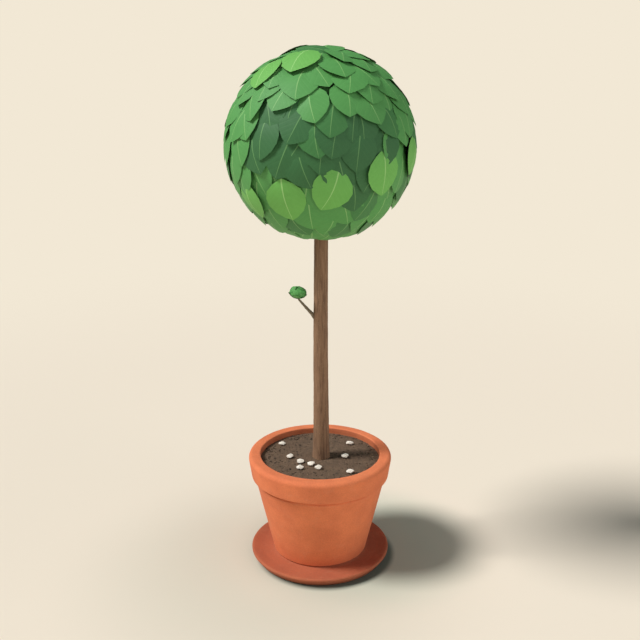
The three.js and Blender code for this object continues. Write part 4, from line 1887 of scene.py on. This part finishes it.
    def build(self, underside: bpy.types.Material) -> None:
        """Models and dresses the crown.

        Args:
            underside: The material of the leaves' undersides.
        """
        self.grow()
        hand_over(self.limbs.piece("crown_limbs", 50), Slot.BARK, [TWIG_BARK.material()],
                  "crown_foliage")
        for age, places in self.places.items():
            grow_leaves(f"crown_leaves_{age.value}", places, BLADES[age], self.shape, underside,
                        "crown_foliage")


# ------------------------------------------------------------------ studio


@dataclass(frozen=True)
class Lamp:
    """A far, wide lamp: its way, its watts a square metre and its width in degrees."""

    way: tuple[float, float, float]
    strength: float
    softness: float


@dataclass(frozen=True)
class Shade:
    """A soft round shade painted on the floor: its middle, its full part's and its edge's radius, its
    tint.
    """

    place: tuple[float, float, float]
    full: float
    edge: float
    colour: str


@dataclass
class Studio:
    """A pale floor with shade painted round the plant, a key lamp at the upper left, weaker ones in
    front and beside, and the camera.
    """

    camera_place: tuple[float, float, float] = (0, -1.833, 1.116)
    camera_pitch: float = 16.86
    lens: float = 50
    sensor: float = 36
    lamps: tuple[Lamp, ...] = (
        Lamp((0.86, 0.13, -1), 3.3, 18), Lamp((-0.5, 1, -0.15), 0.7, 60),
        Lamp((-1, 0.3, -0.5), 0.6, 60))
    sky_colour: str = "e2f6ff"
    sky_strength: float = 0.13
    backdrop: str = "f2e8d5"
    floor_colour: str = "ede0cd"
    floor_radius: float = 9.0
    fade_from: float = 1.1
    fade_to: float = 3.0
    painted_shades: tuple[Shade, ...] = (
        # painted shade: a wide soft darkening of the floor round the plant, off to the left and front
        Shade((-0.1, -0.1, 0), 0.08, 0.54, "e7eceb"),
        # painted shadow: deepens and cools the floor where the pot's shadow falls, to its right
        Shade((0.1, 0.03, 0), 0.12, 0.32, "dcebea"),
        # painted contact shadow: a dark ring on the floor just round the saucer's foot
        Shade((0.012, -0.006, 0), 0.148, 0.166, "9a9f9e"))

    def build(self) -> None:
        """Sets up the camera, the lamps, the sky and the floor."""
        self.place_camera()
        for lamp in self.lamps:
            deselect_all()
            bpy.ops.object.light_add(type="SUN")
            sun = bpy.context.object
            sun.rotation_euler = Vector(lamp.way).to_track_quat("-Z", "Y").to_euler()
            sun.data.energy = lamp.strength
            sun.data.angle = math.radians(lamp.softness)
        self.spread_sky()
        self.lay_floor()
        bpy.context.scene.view_settings.view_transform = "Standard"
        bpy.context.scene.view_settings.look = "None"

    def place_camera(self) -> None:
        """Places the camera, looking slightly down at the plant."""
        deselect_all()
        bpy.ops.object.camera_add(location=self.camera_place,
                                  rotation=(math.radians(90 - self.camera_pitch), 0, 0))
        camera = bpy.context.object
        camera.data.lens = self.lens
        camera.data.sensor_width = self.sensor
        bpy.context.scene.camera = camera

    def spread_sky(self) -> None:
        """Spreads a dim sky that lights the plant, behind a backdrop that only the camera sees."""
        world = bpy.context.scene.world = bpy.data.worlds.new("studio")
        tree = empty_tree(world)
        dim = add_node(tree, "ShaderNodeBackground", {
            "Color": linear(self.sky_colour), "Strength": self.sky_strength})
        seen = add_node(tree, "ShaderNodeBackground", {"Color": linear(self.backdrop)})
        both = add_node(tree, "ShaderNodeMixShader", {
            0: add_node(tree, "ShaderNodeLightPath").outputs["Is Camera Ray"],
            1: dim.outputs["Background"], 2: seen.outputs["Background"]})
        add_node(tree, "ShaderNodeOutputWorld", {"Surface": both.outputs["Shader"]})

    def lay_floor(self) -> None:
        """Lays a matt floor with shade and shadow painted round the plant, that fades into the
        backdrop.
        """
        deselect_all()
        bpy.ops.mesh.primitive_circle_add(vertices=96, radius=self.floor_radius,
                                          fill_type="TRIFAN")
        floor = bpy.context.object
        floor.name = "studio_floor"
        made = bpy.data.materials.new("matt_studio_floor")
        tree = empty_tree(made)
        place = add_node(tree, "ShaderNodeTexCoord").outputs["Object"]
        distance = add_node(tree, "ShaderNodeVectorMath", {0: place}, operation="LENGTH")
        fade = add_node(tree, "ShaderNodeMapRange", {
            "Value": distance.outputs["Value"], "From Min": self.fade_from,
            "From Max": self.fade_to}, interpolation_type="SMOOTHSTEP")
        colour = linear(self.floor_colour)
        # painted shade: each round tint darkens the floor's colour near the plant
        for shade in self.painted_shades:
            near = add_node(tree, "ShaderNodeVectorMath", {0: place, 1: shade.place},
                            operation="DISTANCE")
            share = add_node(tree, "ShaderNodeMapRange", {
                "Value": near.outputs["Value"], "From Min": shade.edge, "From Max": shade.full},
                interpolation_type="SMOOTHSTEP")
            colour = add_node(tree, "ShaderNodeMixRGB", {
                "Fac": share.outputs["Result"], "Color1": colour, "Color2": linear(shade.colour)},
                blend_type="MULTIPLY").outputs["Color"]
        matt = add_node(tree, "ShaderNodeBsdfPrincipled", {
            "Base Color": colour, "Roughness": 1.0, "Specular IOR Level": 0.0})
        far = add_node(tree, "ShaderNodeEmission", {"Color": linear(self.backdrop)})
        both = add_node(tree, "ShaderNodeMixShader", {
            0: fade.outputs["Result"], 1: matt.outputs["BSDF"], 2: far.outputs["Emission"]})
        add_node(tree, "ShaderNodeOutputMaterial", {"Surface": both.outputs["Shader"]})
        floor.data.materials.append(made)


def main() -> None:
    """Builds the plant from the ground up, and the studio round it."""
    logging.basicConfig(level=logging.INFO, format="%(message)s")
    Studio().build()
    Saucer().build()
    Pot().build()
    Compost().build()
    StoneChips().build()
    trunk = Trunk()
    trunk.build()
    shape = LeafShape()
    underside = LEAF_UNDERSIDE.material()
    SideShoot(trunk).build(shape, underside)
    Crown(trunk, shape).build(underside)


if __name__ == "__main__":
    main()
